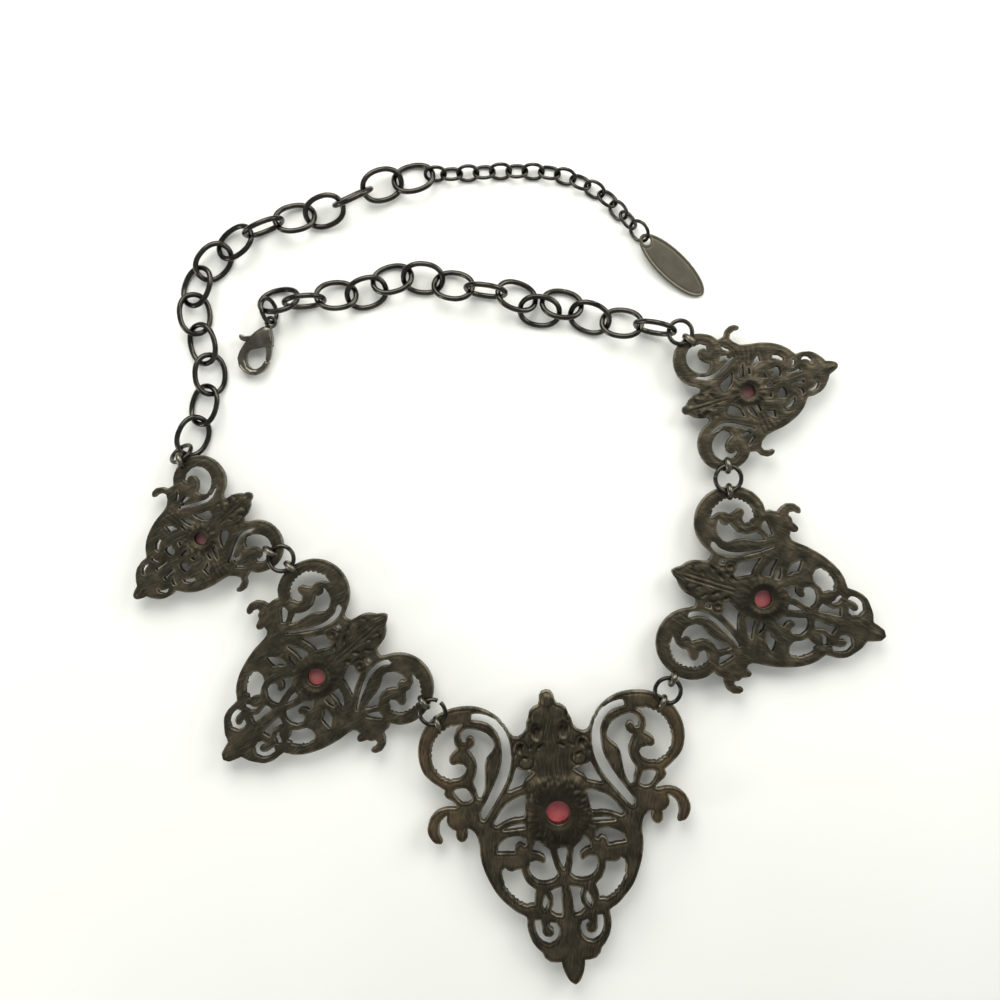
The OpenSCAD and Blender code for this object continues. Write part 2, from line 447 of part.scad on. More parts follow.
module cable_link(q) {
    color("#33332f") translate([q[0], q[1], lie(link_w, link_wire, q[3]) + q[5]])
        rotate([0, 0, q[2]]) rotate([0, -q[4], 0]) rotate([q[3], 0, 0]) link(link_l, link_w, link_wire);
}

module ring(r) {
    color("#3a3934") translate([r[1], r[2], r[3]]) rotate(r[5]) rotate([r[6], 0, 0]) torus(r[4], r[7]);
}

// The clasp's outline without the lever's slot, in its own place
module clasp_place() {
    translate([CLASP[0], CLASP[1], CLASP[3]]) rotate(CLASP[2]) rotate([CLASP[4], 0, 0]) children();
}

module lever_plan() {
    offset(delta = plan_join) band(lever_path, edge_step);
}

module clasp_body() {
    mid = clasp_t/2;
    slot_t = lever_t + 2*lever_gap;
    color("#46443c") clasp_place() union() {
        difference() {
            linear_extrude(clasp_t) polygon(closed_curve(clasp_outline, edge_step));
            translate([0, 0, mid - slot_t/2]) linear_extrude(slot_t) offset(delta = lever_gap) {
                for (a = [0:5:lever_swing])
                    translate(lever_pivot) rotate(-a) translate(-lever_pivot) lever_plan();
            }
        }
        translate([clasp_eye[0], clasp_eye[1], mid]) torus(clasp_eye_r, clasp_eye_wire);
        translate([lever_pivot[0], lever_pivot[1], 0.2]) cylinder(d = pin_d, h = clasp_t - 0.4);
    }
}

module clasp_lever() {
    color("#4b483f") clasp_place() difference() {
        translate([0, 0, (clasp_t - lever_t)/2]) linear_extrude(lever_t) lever_plan();
        translate([lever_pivot[0], lever_pivot[1], -1]) cylinder(d = pin_d + 2*bore_play, h = clasp_t + 2);
    }
}

// The extension: small links banked by turns, the first through the last cable link
module extension_chain() {
    color("#383731") for (i = [0:len(SMALL_LINKS) - 1]) {
        q = SMALL_LINKS[i];
        translate([q[0], q[1], lie(small_w, small_wire, q[3]) + q[4]]) rotate([0, 0, q[2]])
            rotate([q[3], 0, 0]) link(small_l, small_w, small_wire);
    }
}

// The bare oval tag, one end on its ring
module tag() {
    color("#57544a") translate([TAG[0], TAG[1], TAG[3]]) rotate([0, 0, TAG[2]]) rotate([0, TAG[4], 0])
        difference() {
            linear_extrude(tag_t) polygon([for (a = [0:8:352]) [tag_l/2*cos(a), tag_w/2*sin(a)]]);
            translate([tag_hole_in - tag_l/2, 0, -1]) cylinder(d = tag_hole_d, h = tag_t + 2);
        }
}

plaque_names = [for (p = PLAQUES) str("plaque_", p[0])];
stone_names = [for (p = PLAQUES) str("stone_", p[0])];
ring_names = [for (r = RINGS) str("ring_", r[0])];
function numbered(name, n) = [for (i = [1:n]) str(name, i < 10 ? "0" : "", i)];
left_names = numbered("link_left_", len(LEFT_LINKS));
right_names = numbered("link_right_", len(RIGHT_LINKS));

// Every part, moved so that the middle of the whole layout stands over the origin
module laid() {
    translate(layout_shift) children();
}

for (i = [0:len(PLAQUES) - 1]) {
    laid() plaque(i);
    laid() stone(i);
}
for (i = [0:len(RINGS) - 1])
    laid() ring(RINGS[i]);
for (i = [0:len(LEFT_LINKS) - 1])
    laid() cable_link(LEFT_LINKS[i]);
for (i = [0:len(RIGHT_LINKS) - 1])
    laid() cable_link(RIGHT_LINKS[i]);
laid() extension_chain();
laid() clasp_body();
laid() clasp_lever();
laid() tag();
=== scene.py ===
import math

import bpy
import numpy as np
from mathutils import Matrix, Vector
from mathutils.kdtree import KDTree


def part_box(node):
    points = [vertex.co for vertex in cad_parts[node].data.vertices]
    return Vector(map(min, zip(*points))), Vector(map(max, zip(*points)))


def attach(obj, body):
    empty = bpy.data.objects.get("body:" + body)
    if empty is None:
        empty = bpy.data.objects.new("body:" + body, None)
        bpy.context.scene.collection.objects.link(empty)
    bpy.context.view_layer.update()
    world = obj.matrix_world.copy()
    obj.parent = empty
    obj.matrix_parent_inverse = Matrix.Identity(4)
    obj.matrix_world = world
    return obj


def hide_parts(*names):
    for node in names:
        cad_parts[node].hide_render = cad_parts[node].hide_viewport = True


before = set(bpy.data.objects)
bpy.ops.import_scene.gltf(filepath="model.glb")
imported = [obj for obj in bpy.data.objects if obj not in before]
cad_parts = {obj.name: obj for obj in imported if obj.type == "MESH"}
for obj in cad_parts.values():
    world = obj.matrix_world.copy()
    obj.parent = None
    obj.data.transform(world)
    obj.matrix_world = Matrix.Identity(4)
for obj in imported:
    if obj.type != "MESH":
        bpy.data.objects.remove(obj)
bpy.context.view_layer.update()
mm = 0.001
scene = bpy.context.scene


# small helpers

# a colour's hex code as linear values
def srgb(code):
    parts = [int(code[i:i + 2], 16) / 255 for i in (1, 3, 5)]
    return [c / 12.92 if c <= 0.04045 else ((c + 0.055) / 1.055) ** 2.4 for c in parts] + [1.0]


# a value is a number, a socket, or a node whose first output is linked;
# stops are the places and colours of a ramp
def addNode(tree, kind, values=None, stops=(), **settings):
    node = tree.nodes.new(kind)
    for key, value in settings.items():
        setattr(node, key, value)
    for key, value in (values or {}).items():
        if isinstance(value, bpy.types.Node):
            value = value.outputs[0]
        if isinstance(value, bpy.types.NodeSocket):
            tree.links.new(value, node.inputs[key])
        else:
            node.inputs[key].default_value = value
    if stops:
        points = node.color_ramp.elements
        while len(points) < len(stops):
            points.new(0.5)
        for point, (at, colour) in zip(points, stops):
            point.position, point.color = at, srgb(colour)
    return node


def startMaterial(name):
    material = bpy.data.materials.new(name)
    material.use_nodes = True
    material.node_tree.nodes.clear()
    return material, material.node_tree


# materials

# Antique gunmetal plating on cast zinc alloy, filed and brushed:
# dark, brown in the streaks, worn lighter on its rims with a painted highlight there, and painted shade in its
# hollows
castSettings = {
    "streakMm": 0.34, "streakLengthMm": 4.5, "cloudMm": 4.0, "grainMm": 0.22,
    "bumpMm": 0.10, "bumpStrength": 0.6, "grainInBump": 0.35, "roughness": 0.45, "stains": 0.18,
    "tones": ("#312e27", "#454136", "#5f5a4d"), "toneStops": (0.32, 0.50, 0.70),
    # of the colours below, the first is real wear and a painted highlight on the rims, the last is painted shade
    # and also the dark scratches' colour
    "wearAndHighlight": "#b3ab95", "bronze": "#73624a", "shadeAndScratch": "#161410",
    # how far the strokes wander on the plate and round the boss
    "wander": (4.0, 3.0),
    # turn in degrees, width and length in mm, share of the colour, its name
    "scratches": [(24, 0.26, 4.5, 0.35, "shadeAndScratch"), (-17, 0.22, 6.0, 0.16, "wearAndHighlight")]}


def makeCastMetal():
    s = castSettings
    material, tree = startMaterial("antiqueCastZinc")
    chart = addNode(tree, "ShaderNodeUVMap", uv_map="chart")
    fan = addNode(tree, "ShaderNodeUVMap", uv_map="fan")
    boss, warm, rim, paintedShade = [
        addNode(tree, "ShaderNodeAttribute", attribute_name=name).outputs["Fac"]
        for name in ("boss", "warm", "rim", "paintedShade")]
    clouds = addNode(tree, "ShaderNodeTexNoise", {"Vector": chart, "Scale": 1 / s["cloudMm"], "Detail": 4.0})
    grain = addNode(tree, "ShaderNodeTexNoise", {"Vector": chart, "Scale": 1 / s["grainMm"], "Detail": 2.0})
    # long thin strokes along V, bent a little: one set on the plate, one round the boss
    plate = addNode(tree, "ShaderNodeMath", {0: 1.0, 1: boss}, operation="SUBTRACT")
    sets = []
    for place, wander, share in ((chart, s["wander"][0], plate), (fan, s["wander"][1], boss)):
        bend = addNode(tree, "ShaderNodeTexNoise", {"Vector": place, "Scale": 0.11, "Detail": 1.0})
        turned = addNode(tree, "ShaderNodeVectorMath", {
            0: bend.outputs["Color"], 1: (wander, 0.0, 0.0)}, operation="MULTIPLY")
        bent = addNode(tree, "ShaderNodeVectorMath", {0: place, 1: turned}, operation="ADD")
        stretched = addNode(tree, "ShaderNodeMapping", {
            "Vector": bent, "Scale": (1 / s["streakMm"], 1 / s["streakLengthMm"], 1.0)})
        lines = addNode(tree, "ShaderNodeTexNoise", {
            "Vector": stretched, "Scale": 1.0, "Detail": 3.0, "Roughness": 0.65})
        sets.append(addNode(tree, "ShaderNodeMath", {0: lines, 1: share}, operation="MULTIPLY"))
    filed = addNode(tree, "ShaderNodeMath", {0: sets[0], 1: sets[1]}, operation="ADD")
    halves = [
        addNode(tree, "ShaderNodeMath", {0: part, 1: 0.5}, operation="MULTIPLY") for part in (filed, clouds)]
    tone = addNode(tree, "ShaderNodeMath", {0: halves[0], 1: halves[1]}, operation="ADD")
    colour = addNode(tree, "ShaderNodeValToRGB", {"Fac": tone}, list(zip(s["toneStops"], s["tones"])))
    stains = addNode(tree, "ShaderNodeMapRange", {
        "Value": clouds, "From Min": 0.5, "From Max": 0.62, "To Max": s["stains"]})
    warmed = addNode(tree, "ShaderNodeMath", {0: warm, 1: clouds}, operation="MULTIPLY")
    bronzed = addNode(tree, "ShaderNodeMath", {0: warmed, 1: stains}, operation="ADD")
    layers = [(bronzed, "bronze")]
    # real scratches are finer than a tenth of a millimetre: drawn wider here, so that they show
    for turn, wide, long, strength, name in s["scratches"]:
        turned = addNode(tree, "ShaderNodeMapping", {
            "Vector": chart, "Rotation": (0.0, 0.0, math.radians(turn)),
            "Scale": (wide, long, 1.0)}, vector_type="TEXTURE")
        lines = addNode(tree, "ShaderNodeTexNoise", {"Vector": turned, "Scale": 1.0, "Detail": 1.0})
        share = addNode(tree, "ShaderNodeMapRange", {
            "Value": lines, "From Min": 0.60, "From Max": 0.70, "To Max": strength})
        layers.append((share, name))
    # the rims are lightened in patches: real wear together with a painted highlight
    patches = addNode(tree, "ShaderNodeMapRange", {"Value": clouds, "From Min": 0.44, "From Max": 0.56})
    rimWearAndHighlight = addNode(tree, "ShaderNodeMath", {0: rim, 1: patches}, operation="MULTIPLY")
    # hollows, grooves and the openings' lower walls are darkened with painted shade
    layers += [(rimWearAndHighlight, "wearAndHighlight"), (paintedShade, "shadeAndScratch")]
    for share, name in layers:
        mixed = addNode(tree, "ShaderNodeMix", {0: share, 6: colour, 7: srgb(s[name])}, data_type="RGBA")
        colour = mixed.outputs[2]
    rough = addNode(tree, "ShaderNodeMapRange", {
        "Value": grain, "From Min": 0.3, "From Max": 0.7,
        "To Min": s["roughness"] - 0.08, "To Max": s["roughness"] + 0.10})
    fine = addNode(tree, "ShaderNodeMath", {0: grain, 1: s["grainInBump"]}, operation="MULTIPLY")
    height = addNode(tree, "ShaderNodeMath", {0: filed, 1: fine}, operation="ADD")
    bump = addNode(tree, "ShaderNodeBump", {
        "Height": height, "Strength": s["bumpStrength"], "Distance": s["bumpMm"] * mm})
    shader = addNode(tree, "ShaderNodeBsdfPrincipled", {
        "Base Color": colour, "Metallic": 1.0, "Roughness": rough, "Normal": bump})
    addNode(tree, "ShaderNodeOutputMaterial", {"Surface": shader})
    return material


# Plated steel wire and die-cast clasp, tumbled: smooth and dark with soft bright lines along each wire
platedSettings = {
    "chain": {"name": "platedChainWire", "tones": ("#302f2b", "#4b4943"), "roughness": 0.19,
              "cloudMm": 4.0, "grainMm": 0.22, "bumpMm": 0.02},
    "clasp": {"name": "tumbledClasp", "tones": ("#56534a", "#726e62"), "roughness": 0.28,
              "cloudMm": 3.0, "grainMm": 0.22, "bumpMm": 0.03}}


def makePlatedMetal(s):
    material, tree = startMaterial(s["name"])
    place = addNode(tree, "ShaderNodeTexCoord").outputs["Object"]
    clouds = addNode(tree, "ShaderNodeTexNoise", {
        "Vector": place, "Scale": 1 / (s["cloudMm"] * mm), "Detail": 4.0, "Roughness": 0.6})
    grain = addNode(tree, "ShaderNodeTexNoise", {
        "Vector": place, "Scale": 1 / (s["grainMm"] * mm), "Detail": 2.0})
    colour = addNode(tree, "ShaderNodeValToRGB", {"Fac": clouds}, list(zip((0.35, 0.65), s["tones"])))
    rough = addNode(tree, "ShaderNodeMapRange", {
        "Value": clouds, "From Min": 0.3, "From Max": 0.7,
        "To Min": s["roughness"] - 0.05, "To Max": s["roughness"] + 0.08})
    bump = addNode(tree, "ShaderNodeBump", {
        "Height": grain, "Strength": 0.35, "Distance": s["bumpMm"] * mm})
    shader = addNode(tree, "ShaderNodeBsdfPrincipled", {
        "Base Color": colour, "Metallic": 1.0, "Roughness": rough, "Normal": bump})
    addNode(tree, "ShaderNodeOutputMaterial", {"Surface": shader})
    return material


# Satin sheet, brushed along the tag's length: even grey with hair-fine lines and a few soft stains
sheetSettings = {
    "tones": ("#58554a", "#6a6659"), "brushMm": 0.12, "brushLengthMm": 5.0, "cloudMm": 3.0,
    "roughness": 0.45, "bumpMm": 0.02}


def makeTagMetal():
    s = sheetSettings
    material, tree = startMaterial("satinTagSheet")
    place = addNode(tree, "ShaderNodeUVMap", uv_map="chart")
    along = addNode(tree, "ShaderNodeMapping", {
        "Vector": place, "Scale": (1 / s["brushLengthMm"], 1 / s["brushMm"], 1.0)})
    streaks = addNode(tree, "ShaderNodeTexNoise", {"Vector": along, "Scale": 1.0, "Detail": 3.0})
    clouds = addNode(tree, "ShaderNodeTexNoise", {"Vector": place, "Scale": 1 / s["cloudMm"], "Detail": 4.0})
    tone = addNode(tree, "ShaderNodeMath", {0: streaks, 1: clouds}, operation="ADD")
    half = addNode(tree, "ShaderNodeMath", {0: tone, 1: 0.5}, operation="MULTIPLY")
    colour = addNode(tree, "ShaderNodeValToRGB", {"Fac": half}, list(zip((0.35, 0.65), s["tones"])))
    bump = addNode(tree, "ShaderNodeBump", {
        "Height": streaks, "Strength": 0.3, "Distance": s["bumpMm"] * mm})
    shader = addNode(tree, "ShaderNodeBsdfPrincipled", {
        "Base Color": colour, "Metallic": 1.0, "Roughness": s["roughness"], "Normal": bump})
    addNode(tree, "ShaderNodeOutputMaterial", {"Surface": shader})
    return material


# Cast resin, tinted rose all through: soft colour with a clear gloss
# the mid and end stones are given darker rose tones than the centre one, the end ones darkest
resinSettings = {
    "centre": ("roseResin", "#ba5155", "#cc6668"),
    "mid": ("darkerRoseResin", "#a04d4d", "#b06462"),
    "end": ("darkestRoseResin", "#7a4e4c", "#8d5c5a"),
    "cloudMm": 2.5, "roughness": 0.38, "subsurface": 0.15, "depthMm": (1.2, 0.5, 0.5)}


def makeRoseResin(name, dark, light):
    s = resinSettings
    material, tree = startMaterial(name)
    place = addNode(tree, "ShaderNodeTexCoord").outputs["Object"]
    clouds = addNode(tree, "ShaderNodeTexNoise", {
        "Vector": place, "Scale": 1 / (s["cloudMm"] * mm), "Detail": 3.0})
    colour = addNode(tree, "ShaderNodeValToRGB", {"Fac": clouds}, [(0.3, dark), (0.7, light)])
    shader = addNode(tree, "ShaderNodeBsdfPrincipled", {
        "Base Color": colour, "Roughness": s["roughness"], "IOR": 1.5,
        "Subsurface Weight": s["subsurface"], "Subsurface Scale": 1.0,
        "Subsurface Radius": tuple(depth * mm for depth in s["depthMm"])})
    addNode(tree, "ShaderNodeOutputMaterial", {"Surface": shader})
    return material


castMetal = makeCastMetal()
chainMetal = makePlatedMetal(platedSettings["chain"])
claspMetal = makePlatedMetal(platedSettings["clasp"])
resins = {size: makeRoseResin(*resinSettings[size]) for size in ("centre", "mid", "end")}
print("materials made")


# reading the frame

# a node's points in mm, merged, and its triangles
def cadMesh(name):
    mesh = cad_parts[name].data
    points = np.empty(len(mesh.vertices) * 3)
    mesh.vertices.foreach_get("co", points)
    points = points.reshape(-1, 3) / mm
    mesh.calc_loop_triangles()
    corners = np.empty(len(mesh.loop_triangles) * 3, dtype=np.int64)
    mesh.loop_triangles.foreach_get("vertices", corners)
    unique, index = np.unique(np.round(points, 4), axis=0, return_inverse=True)
    triangles = index.reshape(-1)[corners].reshape(-1, 3)
    a, b, c = triangles.T
    return unique, triangles[(a != b) & (b != c) & (c != a)]


# the flat edges at one height, below or above which an upright wall stands
def wallEdges(points, triangles, level, above):
    flatWithin, wallRise, leanWithin = 0.004, 0.02, 0.03
    found = []
    high = points[:, 2]
    for a, b, c in triangles:
        for p, q, r in ((a, b, c), (b, c, a), (c, a, b)):
            flat = abs(high[p] - level) < flatWithin and abs(high[q] - level) < flatWithin
            if flat and (high[r] - level) * (1 if above else -1) > wallRise:
                edge = points[q, :2] - points[p, :2]
                out = points[r, :2] - points[p, :2]
                length = math.hypot(*edge)
                if length > 1e-4 and abs(edge[0] * out[1] - edge[1] * out[0]) / length < leanWithin:
                    found.append([*points[p, :2], *points[q, :2]])
    return np.array(found).reshape(-1, 4)


def looseParts(points, triangles):
    group = np.arange(len(points))
    while True:
        low = group[triangles].min(axis=1)
        before = group.copy()
        for k in range(3):
            np.minimum.at(group, triangles[:, k], low)
        group = group[group]
        if (group == before).all():
            break
    owner = group[triangles[:, 0]]
    return [triangles[owner == g] for g in np.unique(owner)]


# the middle of a ring or link, and its long, short and upright directions
def ovalFrame(points, triangles):
    a, b, c = (points[triangles[:, k]] for k in range(3))
    area = np.linalg.norm(np.cross(b - a, c - a), axis=1) / 2
    middle = (a + b + c) / 3
    centre = (middle * area[:, None]).sum(0) / area.sum()
    spread = ((middle - centre) * area[:, None]).T @ (middle - centre)
    axes = np.linalg.eigh(spread)[1]
    normal, long = axes[:, 0], axes[:, 2]
    if normal[2] < 0:
        normal = -normal
    if long[0] < 0:
        long = -long
    return centre, np.stack([long, np.cross(normal, long), normal], axis=1)


# pieces

def finishPiece(piece, material, replaced, body="necklace"):
    piece.data.materials.clear()
    piece.data.materials.append(material)
    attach(piece, body)
    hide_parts(*replaced)
    return piece


def meshPiece(name, points, faces):
    mesh = bpy.data.meshes.new(name)
    mesh.from_pydata([tuple(p) for p in points], [], [tuple(int(i) for i in f) for f in faces])
    mesh.update()
    piece = bpy.data.objects.new(name, mesh)
    scene.collection.objects.link(piece)
    return piece


def addValues(piece, name, values):
    layer = piece.data.attributes.new(name, "FLOAT", "POINT")
    layer.data.foreach_set("value", np.asarray(values, dtype=np.float32))


def addChart(piece, name, places):
    layer = piece.data.uv_layers.new(name=name)
    layer.data.foreach_set("uv", places.astype(np.float32).ravel())


# 0 below low, 1 above high, with soft ends
def smooth(value, low, high):
    t = np.clip((value - low) / (high - low), 0, 1)
    return t * t * (3 - 2 * t)


# how far each grid point is inside the outline (negative outside), and its nearest point there
def distanceField(edges, xs, ys, reach):
    best = np.full((len(ys), len(xs)), float(reach))
    near = np.zeros((len(ys), len(xs), 2))
    near[..., 0] = xs[None, :] + reach
    near[..., 1] = ys[:, None]
    flips = np.zeros((len(ys), len(xs) + 1), dtype=np.int64)
    for ax, ay, bx, by in edges:
        i0, i1 = np.searchsorted(xs, (min(ax, bx) - reach, max(ax, bx) + reach))
        j0, j1 = np.searchsorted(ys, (min(ay, by) - reach, max(ay, by) + reach))
        if i1 > i0 and j1 > j0:
            px, py = xs[i0:i1][None, :], ys[j0:j1][:, None]
            dx, dy = bx - ax, by - ay
            t = np.clip(((px - ax) * dx + (py - ay) * dy) / (dx * dx + dy * dy), 0, 1)
            qx, qy = ax + t * dx, ay + t * dy
            d = np.hypot(px - qx, py - qy)
            nearer = d < best[j0:j1, i0:i1]
            best[j0:j1, i0:i1][nearer] = d[nearer]
            near[j0:j1, i0:i1, 0][nearer] = qx[nearer]
            near[j0:j1, i0:i1, 1][nearer] = qy[nearer]
        rows = np.nonzero((ys > min(ay, by)) & (ys <= max(ay, by)))[0]
        if len(rows):
            cross = ax + (ys[rows] - ay) / (by - ay) * (bx - ax)
            np.add.at(flips, (rows, np.searchsorted(xs, cross)), 1)
    inside = np.cumsum(flips[:, :-1], axis=1) % 2 == 1
    return np.where(inside, best, -best), near


def nearestOn(edges, points):
    a, b = edges[:, :2], edges[:, 2:]
    run = b - a
    length = (run ** 2).sum(1)
    found = np.empty_like(points)
    for start in range(0, len(points), 300):
        p = points[start:start + 300, None, :]
        t = np.clip(((p - a) * run).sum(2) / length, 0, 1)
        q = a + t[..., None] * run
        k = ((p - q) ** 2).sum(2).argmin(1)
        found[start:start + 300] = q[np.arange(len(k)), k]
    return found


# an even net of triangles over a plan, cut off at a level inside its outline
def marchedPlan(edges, cell, level, extras=()):
    low, high = edges.reshape(-1, 2).min(0) - 0.6, edges.reshape(-1, 2).max(0) + 0.6
    # odd offsets keep grid points off the outline's own corners
    xs = np.arange(low[0] + 0.0137, high[0] + cell, cell)
    ys = np.arange(low[1] + 0.0071, high[1] + cell, cell)
    field, near = distanceField(edges, xs, ys, 3.0)
    others = [distanceField(e, xs, ys, 9.0)[0].ravel() if len(e) else np.full(field.size, -9.0)
              for e in extras]
    place = np.stack(np.meshgrid(xs, ys), axis=-1)
    raw = field - level
    f = raw.copy()
    away = place - near
    away *= (np.sign(field) / np.maximum(np.linalg.norm(away, axis=-1), 1e-6))[..., None]
    # points close to the level are moved onto it, which avoids slivers
    close = np.abs(f) < 0.3 * cell
    place[close] -= (away * f[..., None])[close]
    f[close] = 0
    number = np.arange(f.size).reshape(f.shape)
    a, b, c, d = number[:-1, :-1], number[:-1, 1:], number[1:, 1:], number[1:, :-1]
    even = (np.add.outer(np.arange(a.shape[0]), np.arange(a.shape[1])) % 2 == 0)[..., None]
    one = np.where(even, np.stack([a, b, c], -1), np.stack([a, b, d], -1)).reshape(-1, 3)
    two = np.where(even, np.stack([a, c, d], -1), np.stack([b, c, d], -1)).reshape(-1, 3)
    tris = np.concatenate([one, two])
    flat, rawFlat, points = f.ravel(), raw.ravel(), place.reshape(-1, 2)
    sign = np.sign(flat)[tris]
    whole = (sign >= 0).all(1) & ((sign > 0).any(1) | (rawFlat[tris].mean(1) > 0))
    mixed = (sign > 0).any(1) & (sign < 0).any(1)
    made, values, cuts, cutFaces = [], [], {}, []
    total = f.size
    for tri in tris[mixed]:
        ring = []
        for k in range(3):
            p, q = int(tri[k]), int(tri[(k + 1) % 3])
            if flat[p] >= 0:
                ring.append(p)
            if flat[p] * flat[q] < 0:
                key = (p, q) if p < q else (q, p)
                if key not in cuts:
                    u, v = key
                    t = flat[u] / (flat[u] - flat[v])
                    cuts[key] = total + len(made)
                    made.append(points[u] * (1 - t) + points[v] * t)
                    values.append([o[u] * (1 - t) + o[v] * t for o in others])
                ring.append(cuts[key])
        for k in range(1, len(ring) - 1):
            cutFaces.append((ring[0], ring[k], ring[k + 1]))
    faces = np.concatenate([tris[whole], np.array(cutFaces, dtype=np.int64).reshape(-1, 3)])
    points = np.concatenate([points, np.array(made).reshape(-1, 2)])
    depth = np.concatenate([np.maximum(field.ravel(), 0), np.full(len(made), level)])
    depth[:f.size][close.ravel()] = level
    extra = [np.concatenate([o, np.array([v[k] for v in values])]) for k, o in enumerate(others)]
    used, faces = np.unique(faces, return_inverse=True)
    faces = faces.reshape(-1, 3)
    return points[used], faces, depth[used], [e[used] for e in extra]


def openEdges(faces):
    pairs = np.concatenate([faces[:, [0, 1]], faces[:, [1, 2]], faces[:, [2, 0]]])
    size = faces.max() + 1
    code, back = pairs[:, 0] * size + pairs[:, 1], pairs[:, 1] * size + pairs[:, 0]
    return pairs[~np.isin(code, back)]


# a closed plate over a plan: rounded upper edge, upright wall, small lower bevel, flat underside
def plateSolid(plan, faces, edges, top, bottom, roundTop, roundBottom):
    rim = openEdges(faces)
    lip = np.unique(rim)
    place = {int(v): k for k, v in enumerate(lip)}
    reach = nearestOn(edges, plan[lip]) - plan[lip]
    rows = []
    for angle in (30, 60, 90):
        turn = math.radians(angle)
        drop = roundTop * (1 - math.cos(turn))
        rows.append(np.column_stack([plan[lip] + reach * math.sin(turn), top[lip] - drop]))
    for out, up in ((1.0, 1.0), (0.55, 0.15)):
        height = np.full(len(lip), bottom + up * roundBottom)
        rows.append(np.column_stack([plan[lip] + reach * out, height]))
    count = len(plan)
    under = count + len(rows) * len(lip)
    points = [np.column_stack([plan, top])] + rows + [np.column_stack([plan, np.full(count, bottom)])]
    a = np.array([place[int(v)] for v in rim[:, 0]])
    b = np.array([place[int(v)] for v in rim[:, 1]])
    levels = [(rim[:, 0], rim[:, 1])]
    levels += [(count + k * len(lip) + a, count + k * len(lip) + b) for k in range(len(rows))]
    levels.append((under + rim[:, 0], under + rim[:, 1]))
    allFaces = [faces, faces[:, ::-1] + under]
    for (a0, b0), (a1, b1) in zip(levels, levels[1:]):
        allFaces += [np.column_stack([a0, a1, b1]), np.column_stack([a0, b1, b0])]
    return np.concatenate(points), np.concatenate(allFaces)


# the faces of a closed net that runs round both ways
def netFaces(around, across):
    n = np.arange(around * across).reshape(around, across)
    right, up = np.roll(n, -1, 0), np.roll(n, -1, 1)
    both = np.roll(right, -1, 1)
    return np.concatenate([
        np.stack([n, right, both], -1).reshape(-1, 3), np.stack([n, both, up], -1).reshape(-1, 3)])


def torusMesh(radius, wire, around, across):
    u, v = np.meshgrid(
        np.linspace(0, 2 * math.pi, around, endpoint=False),
        np.linspace(0, 2 * math.pi, across, endpoint=False), indexing="ij")
    out = radius + wire / 2 * np.cos(v)
    points = np.stack([out * np.cos(u), out * np.sin(u), wire / 2 * np.sin(v)], -1).reshape(-1, 3)
    return points, netFaces(around, across)


def latheMesh(profile, around):
    out, high = np.array(profile).T
    u = np.linspace(0, 2 * math.pi, around, endpoint=False)
    points = np.stack([np.outer(np.cos(u), out), np.outer(np.sin(u), out), np.tile(high, (around, 1))], -1)
    return points.reshape(-1, 3), netFaces(around, len(profile))


# the cast plaques: sizes 0, 1 and 2 are the centre, mid and end ones

